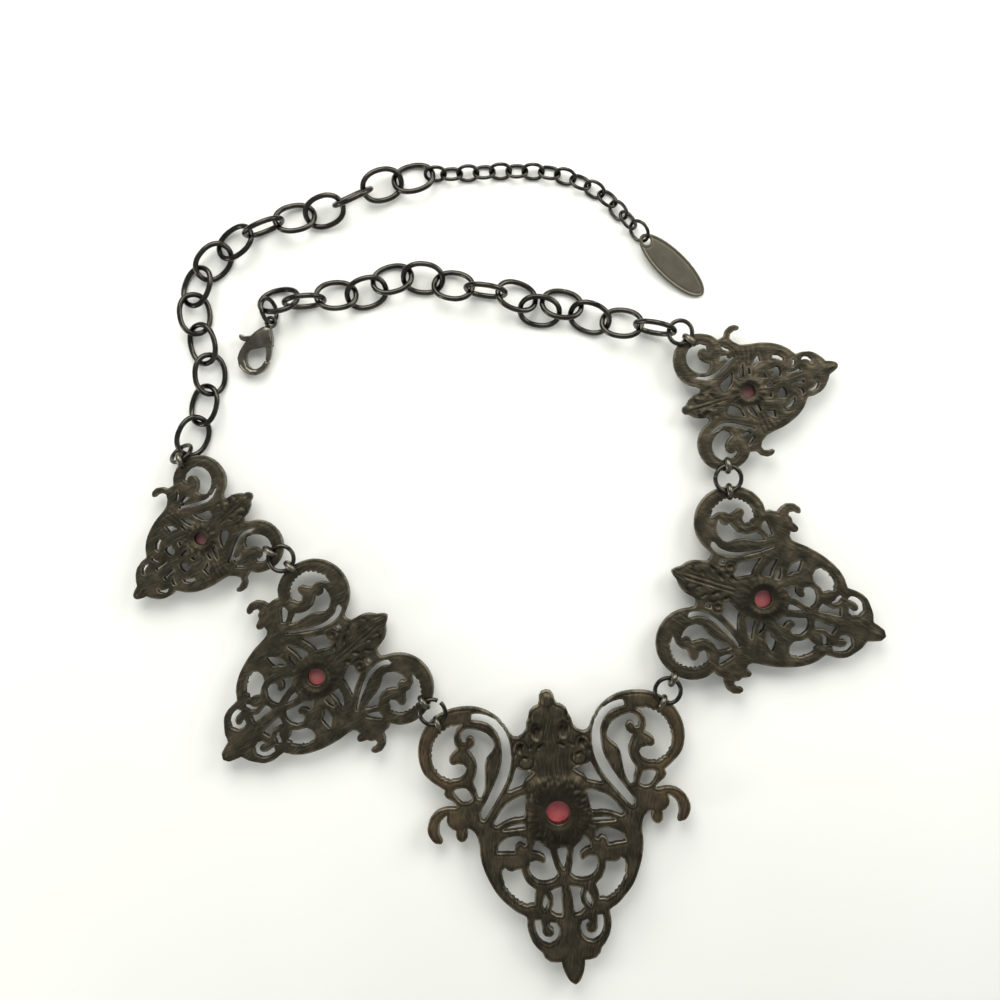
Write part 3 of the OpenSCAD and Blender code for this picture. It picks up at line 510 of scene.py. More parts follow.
plaqueSettings = {
    "cell": 0.28, "edgeRound": 0.22, "underRound": 0.15,
    "plateUnder": 3.2, "plateTop": 5.1, "reliefTop": 5.6, "crown": 0.12, "swell": 0.2,
    "grooveAt": 0.60, "grooveWidth": 0.16, "grooves": {0: 0.15, 1: 0.05, 2: 0.04},
    "bossSize": {0: 8.4, 1: 5.2, 2: 3.9}, "bossShade": {0: 0.55, 1: 0.6, 2: 0.45},
    "ease": {0: 1.5, 1: 2.2, 2: 1.2},
    "flutes": {0: 34, 1: 22, 2: 16}, "fluteDepth": {0: 0.06, 1: 0.04, 2: 0.07},
    "fluteShade": {0: 0.6, 1: 0.5, 2: 0.6},
    "fanLines": {0: 0.0, 1: 0.35, 2: 1.0}, "fanCount": 52, "fanDepth": 0.12, "fanShade": 0.85,
    "rimShare": {0: 0.6, 1: 0.35, 2: 0.3}, "rimWidth": 0.16,
    # wear with a painted highlight, and painted shade, of the five rows round each opening, from the top down
    "wallWearAndHighlight": (0.6, 1.0, 0.7, 0.2, 0.1), "wallShade": (0.0, 0.0, 0.12, 0.3, 0.4),
    # the centre boss: a dome with a ragged foot
    "dome": {"radius": 9.0, "height": 0.6, "foot": 7.9, "footWidth": 0.6, "footDepth": 0.22,
             "footShade": 0.75, "ripple": 0.08},
    "bud": {"y": -30.6, "long": 1.6, "height": 0.3},
    "ball": {"y": 29.0, "radius": 1.7, "height": 0.5, "shade": 0.6},
    "bezelGap": 0.1, "bezelWidth": 0.6, "bezelDrop": 1.6,
    "eyeletRadius": 1.35, "eyeletWire": 1.45,
    # small cast-in hollows, on both sides of the middle, with painted shade in them:
    # x, y, half width, half height, lean in degrees, depth, darkness of the painted shade
    "pits": {
        0: [(3.4, 21.3, 1.7, 2.6, -8, 0.55, 0.95), (7.6, 17.7, 1.0, 1.5, 15, 0.6, 1.0),
            (6.5, 15.2, 0.95, 0.6, 20, 0.5, 1.0), (2.6, 17.7, 1.25, 0.5, -35, 0.45, 1.0),
            (9.0, 16.0, 0.45, 0.9, 10, 0.3, 0.7), (4.6, 25.0, 0.35, 0.9, 20, 0.2, 0.5),
            (5.0, 17.6, 0.4, 1.0, 40, 0.3, 0.7)],
        1: [(2.1, 12.4, 0.5, 1.3, -38, 0.35, 0.8), (3.4, 14.9, 0.45, 1.1, -38, 0.3, 0.7),
            (1.8, 16.9, 0.35, 0.9, -30, 0.25, 0.6), (2.4, 9.5, 0.55, 1.0, -30, 0.35, 0.8),
            (5.0, 10.9, 0.75, 0.8, 0, 0.4, 0.8), (4.3, 12.7, 0.35, 0.7, 30, 0.25, 0.6)],
        2: [(1.4, 9.6, 0.9, 0.45, 40, 0.2, 0.6), (2.3, 12.1, 0.4, 0.9, -35, 0.25, 0.7),
            (3.3, 9.9, 0.4, 0.7, 10, 0.2, 0.5), (1.1, 14.1, 0.3, 0.7, -20, 0.15, 0.4)]},
    # scroll lines cut round a curl (raised where the depth is negative):
    # x, y, radius, from and to in degrees, depth
    "curls": {
        0: [(3.2, 21.9, 0.6, -100, 190, -0.4), (6.4, 14.1, 1.75, 130, 400, 0.4),
            (7.6, 17.6, 1.9, -20, 200, 0.3), (5.2, 24.4, 1.0, 60, 260, 0.25)],
        1: [(4.8, 10.9, 1.4, -60, 200, 0.2), (2.2, 18.4, 1.2, 10, 130, 0.15)],
        2: [(1.9, 12.6, 1.3, -30, 150, 0.1)]},
    "curlWidth": 0.3, "curlShade": 0.75,
    # lines along the crest: distance from its middle, from and to, depth
    "ribs": {
        0: [(0.35, 17, 27.5, 0.22), (1.05, 18, 27, 0.16), (1.8, 18.5, 24, 0.16), (0.7, 8, 17, 0.16),
            (1.7, 8.5, 16, 0.14), (2.6, 8.5, 16, 0.16), (3.5, 8.5, 14.5, 0.14)],
        1: [(0.5, 7.5, 21.5, 0.3), (1.5, 17, 20.5, 0.12)],
        2: [(0.4, 6, 15.5, 0.25)]},
    "ribWidth": 0.2, "ribShade": 0.45,
    # name, size, hole's place, turn, hole above the chart's origin, hole's radius, stone's radius
    "plaques": [
        ("centre", 0, (12.21, -56.86), 5.9, 1.3, 2.9, 6.0),
        ("mid_left", 1, (-46.39, -23.96), -48.4, 1.1, 2.1, 4.3),
        ("mid_right", 1, (61.31, -4.76), 72.9, 1.1, 2.1, 4.3),
        ("end_left", 2, (-74.09, 9.64), -48.6, 0.9, 1.5, 3.0),
        ("end_right", 2, (57.41, 44.84), 106.8, 0.9, 1.5, 3.0)],
    # plaque, ring that the eyelet holds, angle round that ring
    "eyelets": [
        (0, "ring_centre_left", -62), (1, "ring_centre_left", 130),
        (0, "ring_centre_right", -117), (2, "ring_centre_right", 67),
        (1, "ring_mid_left", -40), (3, "ring_mid_left", 147),
        (2, "ring_mid_right", -85), (4, "ring_mid_right", 94),
        (3, "ring_chain_left", -100), (4, "ring_chain_right", -40)],
    # the one ring that leans: heading, tilt, radius of its wire's middle
    "leaningRing": ("ring_chain_left", 33, -55, 2.8), "halfRingWire": 0.45}


# a point on a ring's wire, and its direction from the ring's middle
def ringPoint(name, angle):
    low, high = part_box(name)
    centre = (np.array(low) + np.array(high)) / 2 / mm
    leaning, heading, tilt, radius = plaqueSettings["leaningRing"]
    if name == leaning:
        heading, tilt = math.radians(heading), math.radians(tilt)
    else:
        heading, tilt, radius = 0.0, 0.0, (high.x - low.x) / mm / 2 - plaqueSettings["halfRingWire"]
    a = math.radians(angle)
    flat = (radius * math.cos(a), radius * math.sin(a) * math.cos(tilt))
    x = flat[0] * math.cos(heading) - flat[1] * math.sin(heading)
    y = flat[0] * math.sin(heading) + flat[1] * math.cos(heading)
    return centre + np.array([x, y, radius * math.sin(a) * math.sin(tilt)]), math.atan2(y, x)


# the relief of a plaque's back: height, painted shade, boss and groove at each point of its plan
def plaqueRelief(size, rise, holeRadius, plan, depth, inRelief):
    s = plaqueSettings
    x, y = plan[:, 0], plan[:, 1]
    out = np.hypot(x, y - rise)
    around = np.arctan2(y - rise, x)
    bossSize = s["bossSize"][size]
    crestward = smooth(y, rise + 0.75 * bossSize, rise + 1.3 * bossSize)
    boss = (1 - smooth(out, 0.86 * bossSize, 1.12 * bossSize)) * (1 - crestward * 0.6)
    raised = smooth(inRelief, -0.4, s["ease"][size]) * (1 - 0.35 * boss)
    top = s["plateTop"] + (s["reliefTop"] - s["plateTop"]) * raised
    top += s["swell"] * smooth(inRelief, 0.5, 3.0)
    # fine flutes fan out from the hole to the boss's edge
    flutes = np.cos(s["flutes"][size] * around + 1.3 * np.sin(3 * around) + 0.5 * np.sin(11 * around))
    fluted = smooth(out, holeRadius + 0.4, 0.7 * bossSize) * (1 - smooth(out, bossSize, 1.35 * bossSize))
    top += s["fluteDepth"][size] * flutes * fluted
    # a groove follows the edges of the low scrolls
    groove = np.exp(-((depth - s["grooveAt"]) / s["grooveWidth"]) ** 2)
    groove *= (1 - smooth(inRelief, -0.3, 0.1)) * smooth(out - holeRadius, 0.4, 1.2)
    top -= s["grooves"][size] * groove
    top += s["crown"] * smooth(depth, 0.5, 1.6)
    # painted shade: the boss, flute troughs, cut lines, the dome's foot, hollows, scroll lines, ribs and the
    # ball's edge are darkened
    paintedShade = s["bossShade"][size] * boss
    paintedShade = np.maximum(paintedShade, s["fluteShade"][size] * fluted * np.clip(-flutes - 0.2, 0, 1))
    # cut lines that fan out sideways, from the boss to the outer rim
    lean = np.degrees(np.arctan2(y - rise, np.abs(x)))
    fans = s["fanLines"][size] * np.exp(-((lean + 12) / 26) ** 2) * smooth(out, 1.1 * bossSize, 1.5 * bossSize)
    fans *= 1 - smooth(out, 2.5 * bossSize, 2.9 * bossSize)
    cuts = np.clip(-np.cos(s["fanCount"] * around + 0.8 * np.sin(0.9 * out)) - 0.25, 0, 1)
    cuts *= fans * smooth(depth, 0.35, 0.9)
    top -= s["fanDepth"] * cuts
    paintedShade = np.maximum(paintedShade, s["fanShade"] * cuts)
    if size == 0:
        dome = s["dome"]
        edge = out - dome["foot"] - 0.3 * np.sin(5 * around + 1) - 0.25 * np.sin(11 * around + 2)
        edge -= 0.2 * np.sin(29 * around)
        moat = np.exp(-(edge / dome["footWidth"]) ** 2) * (0.6 + 0.4 * np.sin(8 * around + 0.7))
        ripple = dome["ripple"] * np.sin(17 * around + 2.2 * out) * smooth(out, 4, 7) * boss
        top += dome["height"] * np.clip(1 - (out / dome["radius"]) ** 2, 0, 1) - dome["footDepth"] * moat + ripple
        paintedShade = np.maximum(paintedShade, dome["footShade"] * moat)
        # a small bud near the foot of the plaque
        bud = s["bud"]
        top += bud["height"] * np.exp(-np.hypot(x, (y - bud["y"]) / bud["long"]) ** 2)
    for px, py, wide, tall, lean, deep, dark in s["pits"][size]:
        for side in (-1, 1):
            c, n = math.cos(math.radians(lean)), math.sin(math.radians(lean))
            u = (c * (side * x - px) + n * (y - py)) / wide
            v = (c * (y - py) - n * (side * x - px)) / tall
            share = smooth(1 - np.hypot(u, v), 0, 0.45)
            top -= deep * share
            # the upper half lies in the shade, the lower half shines
            ring = np.exp(-((np.hypot(u, v) - 0.95) * min(wide, tall) / 0.22) ** 2)
            paintedShade = np.maximum(paintedShade, dark * np.maximum(share * smooth(v, -0.5, 0.4), 0.7 * ring))
    for cx, cy, radius, first, last, deep in s["curls"][size]:
        for side in (-1, 1):
            run = (np.degrees(np.arctan2(y - cy, side * x - cx)) - first) % 360
            ends = smooth(run, 0, 25) * (1 - smooth(run, last - first - 25, last - first))
            line = np.exp(-((np.hypot(side * x - cx, y - cy) - radius) / s["curlWidth"]) ** 2)
            line *= ends * (run < last - first)
            top -= deep * line
            if deep > 0:
                paintedShade = np.maximum(paintedShade, s["curlShade"] * line)
    for cx, first, last, deep in s["ribs"][size]:
        line = np.exp(-((np.abs(x) - cx) / s["ribWidth"]) ** 2)
        line *= smooth(y, first, first + 1.5) * (1 - smooth(y, last - 1.5, last))
        top -= deep * line
        paintedShade = np.maximum(paintedShade, s["ribShade"] * line)
    if size == 0:
        # the ball on top of the crest
        ball = s["ball"]
        fromBall = np.hypot(x, y - ball["y"])
        top += ball["height"] * np.sqrt(np.clip(1 - (fromBall / ball["radius"]) ** 2, 0, 1))
        edge = np.exp(-((fromBall - ball["radius"] - 0.05) / 0.2) ** 2) * (y < ball["y"] + 0.6)
        paintedShade = np.maximum(paintedShade, ball["shade"] * edge)
    return top, paintedShade, boss, groove


def buildPlaque(index):
    s = plaqueSettings
    name, size, hole, turn, rise, holeRadius, stoneRadius = s["plaques"][index]
    node = "plaque_" + name
    points, triangles = cadMesh(node)
    angle = math.radians(turn)
    spin = np.array([[math.cos(angle), -math.sin(angle)], [math.sin(angle), math.cos(angle)]])

    # chart: mm on the plaque's own plan, hole at (0, rise), crest upwards
    def toChart(flat):
        return (flat - np.array(hole)) @ spin + np.array([0, rise])

    # where the setting's rim crosses an opening, that edge of the plate starts on top of the rim
    outline = np.concatenate([wallEdges(points, triangles, s["plateUnder"] + up, True) for up in (0, 0.1)])
    relief = wallEdges(points, triangles, s["reliefTop"], False)
    outline = np.column_stack([toChart(outline[:, :2]), toChart(outline[:, 2:])])
    relief = np.column_stack([toChart(relief[:, :2]), toChart(relief[:, 2:])])
    level = s["edgeRound"]
    plan, faces, depth, (inRelief,) = marchedPlan(outline, s["cell"], level, [relief])
    top, paintedShade, boss, groove = plaqueRelief(size, rise, holeRadius, plan, depth, inRelief)
    solid, solidFaces = plateSolid(plan, faces, outline, top, s["plateUnder"], level, s["underRound"])
    groups = [(solid, solidFaces)]
    bezelIn = stoneRadius + s["bezelGap"]
    bezelOut = bezelIn + s["bezelWidth"]
    low, high = s["plateUnder"] - s["bezelDrop"], s["plateUnder"] + 0.1
    bezel, bezelFaces = latheMesh([
        (bezelOut, high), (bezelIn, high), (bezelIn, low + 0.12),
        (bezelIn + 0.1, low), (bezelOut - 0.15, low), (bezelOut, low + 0.15)], 96)
    bezel[:, 1] += rise
    groups.append((bezel, bezelFaces))
    for owner, ring, angleRound in s["eyelets"]:
        if owner == index:
            at, heading = ringPoint(ring, angleRound)
            loop, loopFaces = torusMesh(s["eyeletRadius"], s["eyeletWire"], 40, 18)
            stand = np.array(Matrix.Rotation(heading - angle, 3, "Z") @ Matrix.Rotation(math.pi / 2, 3, "X"))
            centre = toChart(at[:2])
            groups.append((loop @ stand.T + np.array([centre[0], centre[1], at[2]]), loopFaces))
    allPoints, allFaces, start = [], [], 0
    for p, f in groups:
        allPoints.append(p)
        allFaces.append(f + start)
        start += len(p)
    chart = np.concatenate(allPoints)
    flat = (chart[:, :2] - np.array([0, rise])) @ spin.T + np.array(hole)
    placed = np.column_stack([flat, chart[:, 2]]) * mm
    piece = meshPiece("visual_" + node, placed, np.concatenate(allFaces))

    # what the material reads: rims worn and painted light as a highlight, hollows and the openings' lower walls
    # painted dark as shade, bronze ends and the boss
    x, fromHoleY = chart[:, 0], chart[:, 1] - rise
    out = np.hypot(x, fromHoleY)
    count = len(plan)
    wallRow = (len(solid) - 2 * count) // len(s["wallShade"])
    # real wear and a painted highlight: light along the rounded top edges and the upper rows of the walls, none
    # near the hole
    rimShare = np.zeros(start)
    rimShare[:count] = 0.5 * np.exp(-((depth - level) / s["rimWidth"]) ** 2)
    rimShare[count:len(solid) - count] = np.repeat(s["wallWearAndHighlight"], wallRow)
    rimShare *= s["rimShare"][size] * smooth(out, holeRadius + 0.3, holeRadius + 1.2)
    # painted shade in the hollows and grooves, and down the lower rows of the openings' walls
    paintedShadeShare = np.zeros(start)
    paintedShadeShare[:count] = np.maximum(paintedShade * 0.9, 4.0 * s["grooves"][size] * groove)
    paintedShadeShare[count:len(solid) - count] = np.repeat(s["wallShade"], wallRow)
    if size == 0:
        warm = 0.15 + 0.85 * smooth(np.abs(x), 19, 28)
    else:
        warm = 0.1 * smooth(np.abs(x), 12, 20)
    bossShare = np.zeros(start)
    bossShare[:count] = boss
    addValues(piece, "rim", rimShare)
    addValues(piece, "paintedShade", paintedShadeShare)
    addValues(piece, "warm", warm)
    addValues(piece, "boss", bossShare)
    corner = np.empty(len(piece.data.loops), dtype=np.int64)
    piece.data.loops.foreach_get("vertex_index", corner)
    addChart(piece, "chart", chart[corner, :2])
    # the same place as angle and distance from the hole, with each triangle on one side of the seam
    angles = np.arctan2(fromHoleY, x)[corner].reshape(-1, 3)
    angles[(np.ptp(angles, axis=1) > math.pi)[:, None] & (angles < 0)] += 2 * math.pi
    addChart(piece, "fan", np.column_stack([angles.ravel() * s["bossSize"][size], out[corner]]))
    piece.data.shade_smooth()
    finishPiece(piece, castMetal, [node])
    # the eyelets are plated wire, soldered on
    piece.data.materials.append(claspMetal)
    soldered = np.zeros(len(piece.data.polygons), dtype=np.int32)
    soldered[len(solidFaces) + len(bezelFaces):] = 1
    piece.data.polygons.foreach_set("material_index", soldered)
    print("plaque", name, len(outline), "edges", len(piece.data.polygons), "triangles")


for index in range(len(plaqueSettings["plaques"])):
    buildPlaque(index)


# wire: links and jump rings swept along an oval by Geometry Nodes

wireSettings = {
    "steps": 72, "sides": 14, "sharpAbove": 50,
    "cable": {"Length": 10.75, "Width": 8.45, "Wire": 1.3, "Squareness": 2.2, "Gap": 0.005, "Seam": 90.0},
    "small": {"Length": 5.6, "Width": 4.4, "Wire": 0.85, "Squareness": 2.2, "Gap": 0.005, "Seam": 90.0},
    # the wire is a little thicker than in the CAD, so it is lifted to rest on the surface
    "lift": 0.075}


def wireTree():
    tree = bpy.data.node_groups.new("wireOvals", "GeometryNodeTree")
    face = tree.interface
    face.new_socket(name="Geometry", in_out="INPUT", socket_type="NodeSocketGeometry")
    for name in ("Length", "Width", "Wire", "Squareness", "Gap", "Seam"):
        face.new_socket(name=name, in_out="INPUT", socket_type="NodeSocketFloat")
    for name in ("Steps", "Sides"):
        face.new_socket(name=name, in_out="INPUT", socket_type="NodeSocketInt")
    face.new_socket(name="Material", in_out="INPUT", socket_type="NodeSocketMaterial")
    face.new_socket(name="Geometry", in_out="OUTPUT", socket_type="NodeSocketGeometry")
    given = addNode(tree, "NodeGroupInput").outputs

    # half length and half width of the wire's middle line
    halves = []
    for name in ("Length", "Width"):
        inner = addNode(tree, "ShaderNodeMath", {0: given[name], 1: given["Wire"]}, operation="SUBTRACT")
        halves.append(addNode(tree, "ShaderNodeMath", {0: inner, 1: 0.5}, operation="MULTIPLY"))
    line = addNode(tree, "GeometryNodeCurvePrimitiveLine")
    stepped = addNode(tree, "GeometryNodeResampleCurve", {"Curve": line, "Count": given["Steps"]})
    # the wire runs all round from the seam, less the gap
    along = addNode(tree, "GeometryNodeSplineParameter").outputs["Factor"]
    gapTurn = addNode(tree, "ShaderNodeMath", {0: given["Gap"], 1: halves[1]}, operation="DIVIDE")
    sweep = addNode(tree, "ShaderNodeMath", {0: 2 * math.pi, 1: gapTurn}, operation="SUBTRACT")
    seam = addNode(tree, "ShaderNodeMath", {0: given["Seam"]}, operation="RADIANS")
    halfGap = addNode(tree, "ShaderNodeMath", {0: gapTurn, 1: 0.5}, operation="MULTIPLY")
    start = addNode(tree, "ShaderNodeMath", {0: seam, 1: halfGap}, operation="ADD")
    turn = addNode(tree, "ShaderNodeMath", {0: along, 1: sweep, 2: start}, operation="MULTIPLY_ADD")
    power = addNode(tree, "ShaderNodeMath", {0: 2.0, 1: given["Squareness"]}, operation="DIVIDE")
    sides = []
    for operation, half in zip(("COSINE", "SINE"), halves):
        value = addNode(tree, "ShaderNodeMath", {0: turn}, operation=operation)
        size = addNode(tree, "ShaderNodeMath", {0: value}, operation="ABSOLUTE")
        bent = addNode(tree, "ShaderNodeMath", {0: size, 1: power}, operation="POWER")
        sign = addNode(tree, "ShaderNodeMath", {0: value}, operation="SIGN")
        signed = addNode(tree, "ShaderNodeMath", {0: sign, 1: bent}, operation="MULTIPLY")
        sides.append(addNode(tree, "ShaderNodeMath", {0: half, 1: signed}, operation="MULTIPLY"))
    spot = addNode(tree, "ShaderNodeCombineXYZ", {"X": sides[0], "Y": sides[1]})
    path = addNode(tree, "GeometryNodeSetPosition", {"Geometry": stepped, "Position": spot})
    even = addNode(tree, "GeometryNodeResampleCurve", {"Curve": path, "Count": given["Steps"]})
    radius = addNode(tree, "ShaderNodeMath", {0: given["Wire"], 1: 0.5}, operation="MULTIPLY")
    section = addNode(tree, "GeometryNodeCurvePrimitiveCircle", {
        "Resolution": given["Sides"], "Radius": radius})
    swept = addNode(tree, "GeometryNodeCurveToMesh", {
        "Curve": even, "Profile Curve": section, "Fill Caps": True})
    turned = addNode(tree, "GeometryNodeInputNamedAttribute", {"Name": "turn"}, data_type="FLOAT_VECTOR")
    placed = addNode(tree, "GeometryNodeInstanceOnPoints", {
        "Points": given["Geometry"], "Instance": swept, "Rotation": turned.outputs["Attribute"]})
    real = addNode(tree, "GeometryNodeRealizeInstances", {"Geometry": placed})
    shaded = addNode(tree, "GeometryNodeSetShadeSmooth", {"Geometry": real})
    coated = addNode(tree, "GeometryNodeSetMaterial", {"Geometry": shaded, "Material": given["Material"]})
    addNode(tree, "NodeGroupOutput", {"Geometry": coated})
    return tree


wireOvals = wireTree()


# swaps a piece's mesh for the one that its modifiers make, and removes them
def applyModifiers(piece):
    bpy.context.view_layer.update()
    shaped = piece.evaluated_get(bpy.context.evaluated_depsgraph_get())
    mesh = bpy.data.meshes.new_from_object(shaped)
    piece.modifiers.clear()
    old, piece.data = piece.data, mesh
    bpy.data.meshes.remove(old)


def wirePiece(name, frames, shape, material, nodes):
    lift = np.array([0, 0, wireSettings["lift"]])
    piece = meshPiece(name, [(centre + lift) * mm for centre, axes in frames], [])
    turns = piece.data.attributes.new("turn", "FLOAT_VECTOR", "POINT")
    for k, (centre, axes) in enumerate(frames):
        turns.data[k].vector = Matrix(axes.tolist()).to_euler()
    lengths = ("Length", "Width", "Wire", "Gap")
    inputs = {key: value * mm if key in lengths else value for key, value in shape.items()}
    inputs.update({"Steps": wireSettings["steps"], "Sides": wireSettings["sides"], "Material": material})
    modifier = piece.modifiers.new("shape", "NODES")
    modifier.node_group = wireOvals
    for item in wireOvals.interface.items_tree:
        if item.item_type == "SOCKET" and item.in_out == "INPUT" and item.name in inputs:
            modifier[item.identifier] = inputs[item.name]
    applyModifiers(piece)
    piece.data.set_sharp_from_angle(angle=math.radians(wireSettings["sharpAbove"]))
    finishPiece(piece, material, nodes)
    print(name, len(piece.data.polygons), "faces")


for side in ("left", "right"):
    nodes = [f"link_{side}_{k:02d}" for k in range(1, 15)]
    frames = [ovalFrame(*cadMesh(node)) for node in nodes]
    wirePiece("cable_chain_" + side, frames, wireSettings["cable"], chainMetal, nodes)

smallPoints, smallTriangles = cadMesh("extension_chain")
smallFrames = [ovalFrame(smallPoints, part) for part in looseParts(smallPoints, smallTriangles)]
wirePiece("extension_links", smallFrames, wireSettings["small"], chainMetal, ["extension_chain"])

# jump rings: where the wire's ends meet in degrees, how far apart they stand, size across, wire
ringSettings = {
    "ring_centre_left": (58.0, 0.8, 7.2, 1.05), "ring_centre_right": (150.0, 0.04, 7.2, 1.05),
    "ring_mid_left": (60.0, 0.04, 7.2, 1.05), "ring_mid_right": (170.0, 0.04, 7.2, 1.05),
    "ring_chain_left": (80.0, 0.04, 6.6, 1.05), "ring_chain_right": (100.0, 0.04, 6.6, 1.05),
    "ring_clasp": (40.0, 0.04, 6.8, 1.05), "ring_tag": (90.0, 0.04, 6.0, 0.85)}
for node, (seam, gap, size, wire) in ringSettings.items():
    centre, axes = ovalFrame(*cadMesh(node))
    normal = axes[:, 2]
    # a round ring has no long side, so its seam is counted from the east
    east = np.array([1.0, 0.0, 0.0]) - normal * normal[0]
    east /= np.linalg.norm(east)
    axes = np.stack([east, np.cross(normal, east), normal], axis=1)
    shape = {"Length": size, "Width": size, "Wire": wire, "Squareness": 2.0, "Gap": gap, "Seam": seam}
    wirePiece("jump_" + node, [(centre, axes)], shape, chainMetal, [node])


# clasp: the cast body and lever with tumbled, rounded edges

claspSettings = {
    "voxel": 0.1, "smoothing": 18, "factor": 0.5, "fairing": 8.0, "fairingSteps": 20,
    # the clasp's own place in the frame
    "origin": (-60.79, 52.94, 0.5), "turn": -22.5, "pitch": 7.0,
    # height of its middle plane, half thickness that stays flat, width and remaining share of the rounding
    "middle": 1.5, "flatHalf": 0.75, "roundOver": 1.6, "edgeLeft": 0.12,
    "tabFrom": -4.0, "tabCurl": 0.24}


def tumbled(node, name, body):
    s = claspSettings
    points, triangles = cadMesh(node)
    piece = meshPiece(name, points * mm, triangles)
    remesh = piece.modifiers.new("remesh", "REMESH")
    remesh.mode = "VOXEL"
    remesh.voxel_size = s["voxel"] * mm
    applyModifiers(piece)
    # both flat faces are crowned: the nearer to a side wall, the lower
    turned = Matrix.Rotation(math.radians(s["turn"]), 3, "Z") @ Matrix.Rotation(math.radians(s["pitch"]), 3, "X")
    spin, origin = np.array(turned), np.array(s["origin"])
    spots = np.empty(len(piece.data.vertices) * 3)
    piece.data.vertices.foreach_get("co", spots)
    local = (spots.reshape(-1, 3) / mm - origin) @ spin
    normals = np.empty(len(local) * 3)
    piece.data.vertex_normals.foreach_get("vector", normals)
    upright = np.abs((normals.reshape(-1, 3) @ spin)[:, 2]) < 0.5
    rim = np.abs(local[:, 2] - s["middle"])
    walls = np.nonzero(upright & (rim > 0.72 * rim.max()))[0]
    tree = KDTree(len(walls))
    for k, v in enumerate(walls):
        tree.insert((local[v, 0], local[v, 1], 0), k)
    tree.balance()
    inward = np.array([tree.find((p[0], p[1], 0))[2] for p in local])
    dome = np.sqrt(1 - (1 - np.minimum(inward / s["roundOver"], 1)) ** 2)
    away = local[:, 2] - s["middle"]
    beyond = np.maximum(np.abs(away) - s["flatHalf"], 0)
    away = np.sign(away) * (np.abs(away) - beyond * (1 - s["edgeLeft"]) * (1 - dome))
    local[:, 2] = s["middle"] + away
    if body == "lever":
        # the thumb tab curls away from the hook
        local[:, 1] += s["tabCurl"] * np.maximum(s["tabFrom"] - local[:, 0], 0) ** 2
    piece.data.vertices.foreach_set("co", ((local @ spin.T + origin) * mm).ravel())
    relax = piece.modifiers.new("relax", "SMOOTH")
    relax.factor, relax.iterations = s["factor"], s["smoothing"]
    fair = piece.modifiers.new("fair", "LAPLACIANSMOOTH")
    fair.lambda_factor, fair.iterations, fair.use_volume_preserve = s["fairing"], s["fairingSteps"], True
    applyModifiers(piece)
    piece.data.shade_smooth()
    finishPiece(piece, claspMetal, [node], body)
    print(name, len(piece.data.polygons), "faces")


tumbled("clasp_body", "lobster_clasp", "necklace")
tumbled("clasp_lever", "clasp_thumb_lever", "lever")


# tag: bare oval sheet with a pressed rim and a hole

tagSettings = {
    "length": 20.5, "width": 7.0, "thickness": 0.6, "holeIn": 1.9, "hole": 1.9,
    "place": (39.31, 75.14, 1.1), "turn": -42.5, "pitch": 6.0, "cell": 0.22, "edgeRound": 0.12,
    # distance from the edge, width, height
    "ridge": (0.30, 0.16, 0.10), "groove": (0.68, 0.14, 0.08)}


def buildTag():
    s = tagSettings
    turn = np.linspace(0, 2 * math.pi, 160, endpoint=False)
    oval = np.stack([s["length"] / 2 * np.cos(turn), s["width"] / 2 * np.sin(turn)], 1)
    bore = np.stack([
        s["holeIn"] - s["length"] / 2 + s["hole"] / 2 * np.cos(turn[::4]), s["hole"] / 2 * np.sin(turn[::4])], 1)
    edges = np.concatenate([np.column_stack([loop, np.roll(loop, -1, 0)]) for loop in (oval, bore)])
    level = s["edgeRound"]
    plan, faces, depth, _ = marchedPlan(edges, s["cell"], level)
    at, wide, high = s["ridge"]
    top = s["thickness"] + high * np.exp(-((depth - at) / wide) ** 2)
    at, wide, deep = s["groove"]
    top -= deep * np.exp(-((depth - at) / wide) ** 2)
    solid, solidFaces = plateSolid(plan, faces, edges, top, 0.0, level, level)
    place = Matrix.Translation(s["place"]) @ Matrix.Rotation(math.radians(s["turn"]), 4, "Z")
    place = place @ Matrix.Rotation(math.radians(s["pitch"]), 4, "Y")
    placed = solid @ np.array(place.to_3x3()).T + np.array(place.translation)
    piece = meshPiece("oval_tag", placed * mm, solidFaces)
    addChart(piece, "chart", solid[solidFaces.ravel(), :2])
    piece.data.shade_smooth()
    finishPiece(piece, makeTagMetal(), ["tag"])


buildTag()

for name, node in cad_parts.items():
    if name.startswith("stone_"):
        node.data.materials.clear()
        node.data.materials.append(resins[name.split("_")[1]])
print("clasp, tag and stones made")


# camera, floor and light

# almost straight down, as the photograph was taken
cameraSettings = {
    "place": (3.65, 33.21, 284.37), "forward": (-0.0195, -0.0508, -0.9985), "up": (0.0, 0.9987, -0.0508),
    "lens": 42.04, "sensor": 36.0}
cameraData = bpy.data.cameras.new("camera")
cameraData.lens = cameraSettings["lens"]
cameraData.sensor_width = cameraSettings["sensor"]
cameraData.clip_start, cameraData.clip_end = 0.01, 20.0
camera = bpy.data.objects.new("camera", cameraData)
scene.collection.objects.link(camera)
forward = Vector(cameraSettings["forward"]).normalized()
right = forward.cross(Vector(cameraSettings["up"])).normalized()
cameraTurn = Matrix((right, right.cross(forward), -forward)).transposed().to_4x4()
camera.matrix_world = Matrix.Translation(Vector(cameraSettings["place"]) * mm) @ cameraTurn
scene.camera = camera

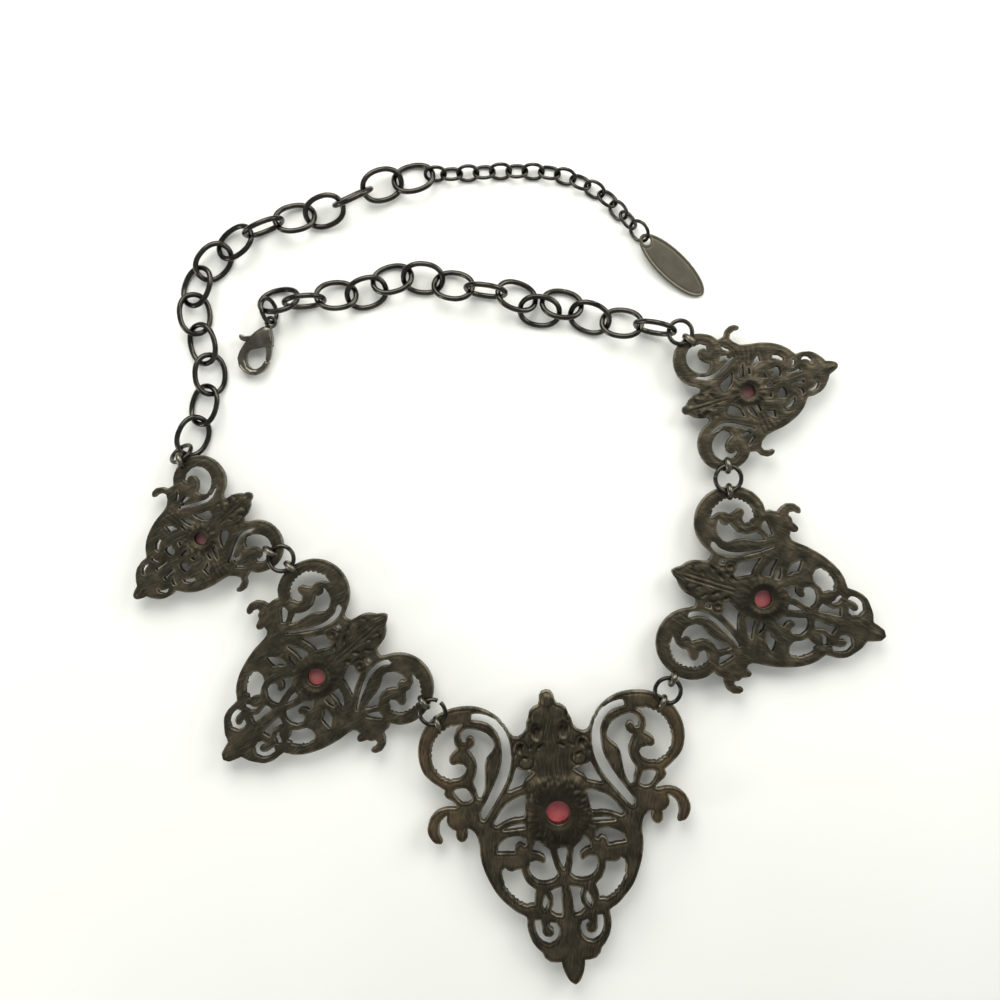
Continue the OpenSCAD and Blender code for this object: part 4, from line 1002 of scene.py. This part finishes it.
# Matte white table top: plain, with a barely visible cloudiness
floorSettings = {"halfSide": 1.5, "tones": ("#f1f2ec", "#f5f6f1"), "cloudScale": 12.0, "roughness": 0.85}
floorMaterial, floorTree = startMaterial("matteWhiteSurface")
floorPlace = addNode(floorTree, "ShaderNodeTexCoord").outputs["Object"]
floorNoise = addNode(floorTree, "ShaderNodeTexNoise", {
    "Vector": floorPlace, "Scale": floorSettings["cloudScale"], "Detail": 2.0})
floorColour = addNode(floorTree, "ShaderNodeValToRGB", {
    "Fac": floorNoise}, list(zip((0.3, 0.7), floorSettings["tones"])))
floorShader = addNode(floorTree, "ShaderNodeBsdfPrincipled", {
    "Base Color": floorColour, "Roughness": floorSettings["roughness"], "Specular IOR Level": 0.1})
addNode(floorTree, "ShaderNodeOutputMaterial", {"Surface": floorShader})
far = floorSettings["halfSide"]
floor = meshPiece("floor", [(-far, -far, 0), (far, -far, 0), (far, far, 0), (-far, far, 0)], [(0, 1, 2, 3)])
floor.data.materials.append(floorMaterial)

lightSettings = {
    "window": {"place": (-0.07, 0.34, 0.29), "size": 0.36, "power": 1.67, "colour": (1.0, 0.985, 0.955)},
    "lowGlow": {"place": (-0.36, -0.16, 0.13), "size": 0.12, "power": 0.44, "colour": (1.0, 0.975, 0.93)},
    "rightFill": {"place": (0.32, 0.24, 0.26), "size": 0.28, "power": 1.1, "colour": (1.0, 0.985, 0.955)}}
# aimed a little short of the middle, so that each lamp's light ends far outside the view
aimShare = 0.35
for name, s in lightSettings.items():
    data = bpy.data.lights.new(name, "AREA")
    data.shape, data.size, data.energy, data.color = "DISK", s["size"], s["power"], s["colour"]
    lamp = bpy.data.objects.new(name, data)
    lamp.location = s["place"]
    target = Vector((aimShare * s["place"][0], aimShare * s["place"][1], 0))
    lamp.rotation_euler = (target - Vector(s["place"])).to_track_quat("-Z", "Y").to_euler()
    scene.collection.objects.link(lamp)
worldSettings = {"colour": "#f4f6f6", "strength": 0.50}
world = bpy.data.worlds.new("studio")
world.use_nodes = True
background = world.node_tree.nodes["Background"]
background.inputs["Color"].default_value = srgb(worldSettings["colour"])
background.inputs["Strength"].default_value = worldSettings["strength"]
scene.world = world
scene.view_settings.view_transform = "Standard"
print("camera, floor and light made")
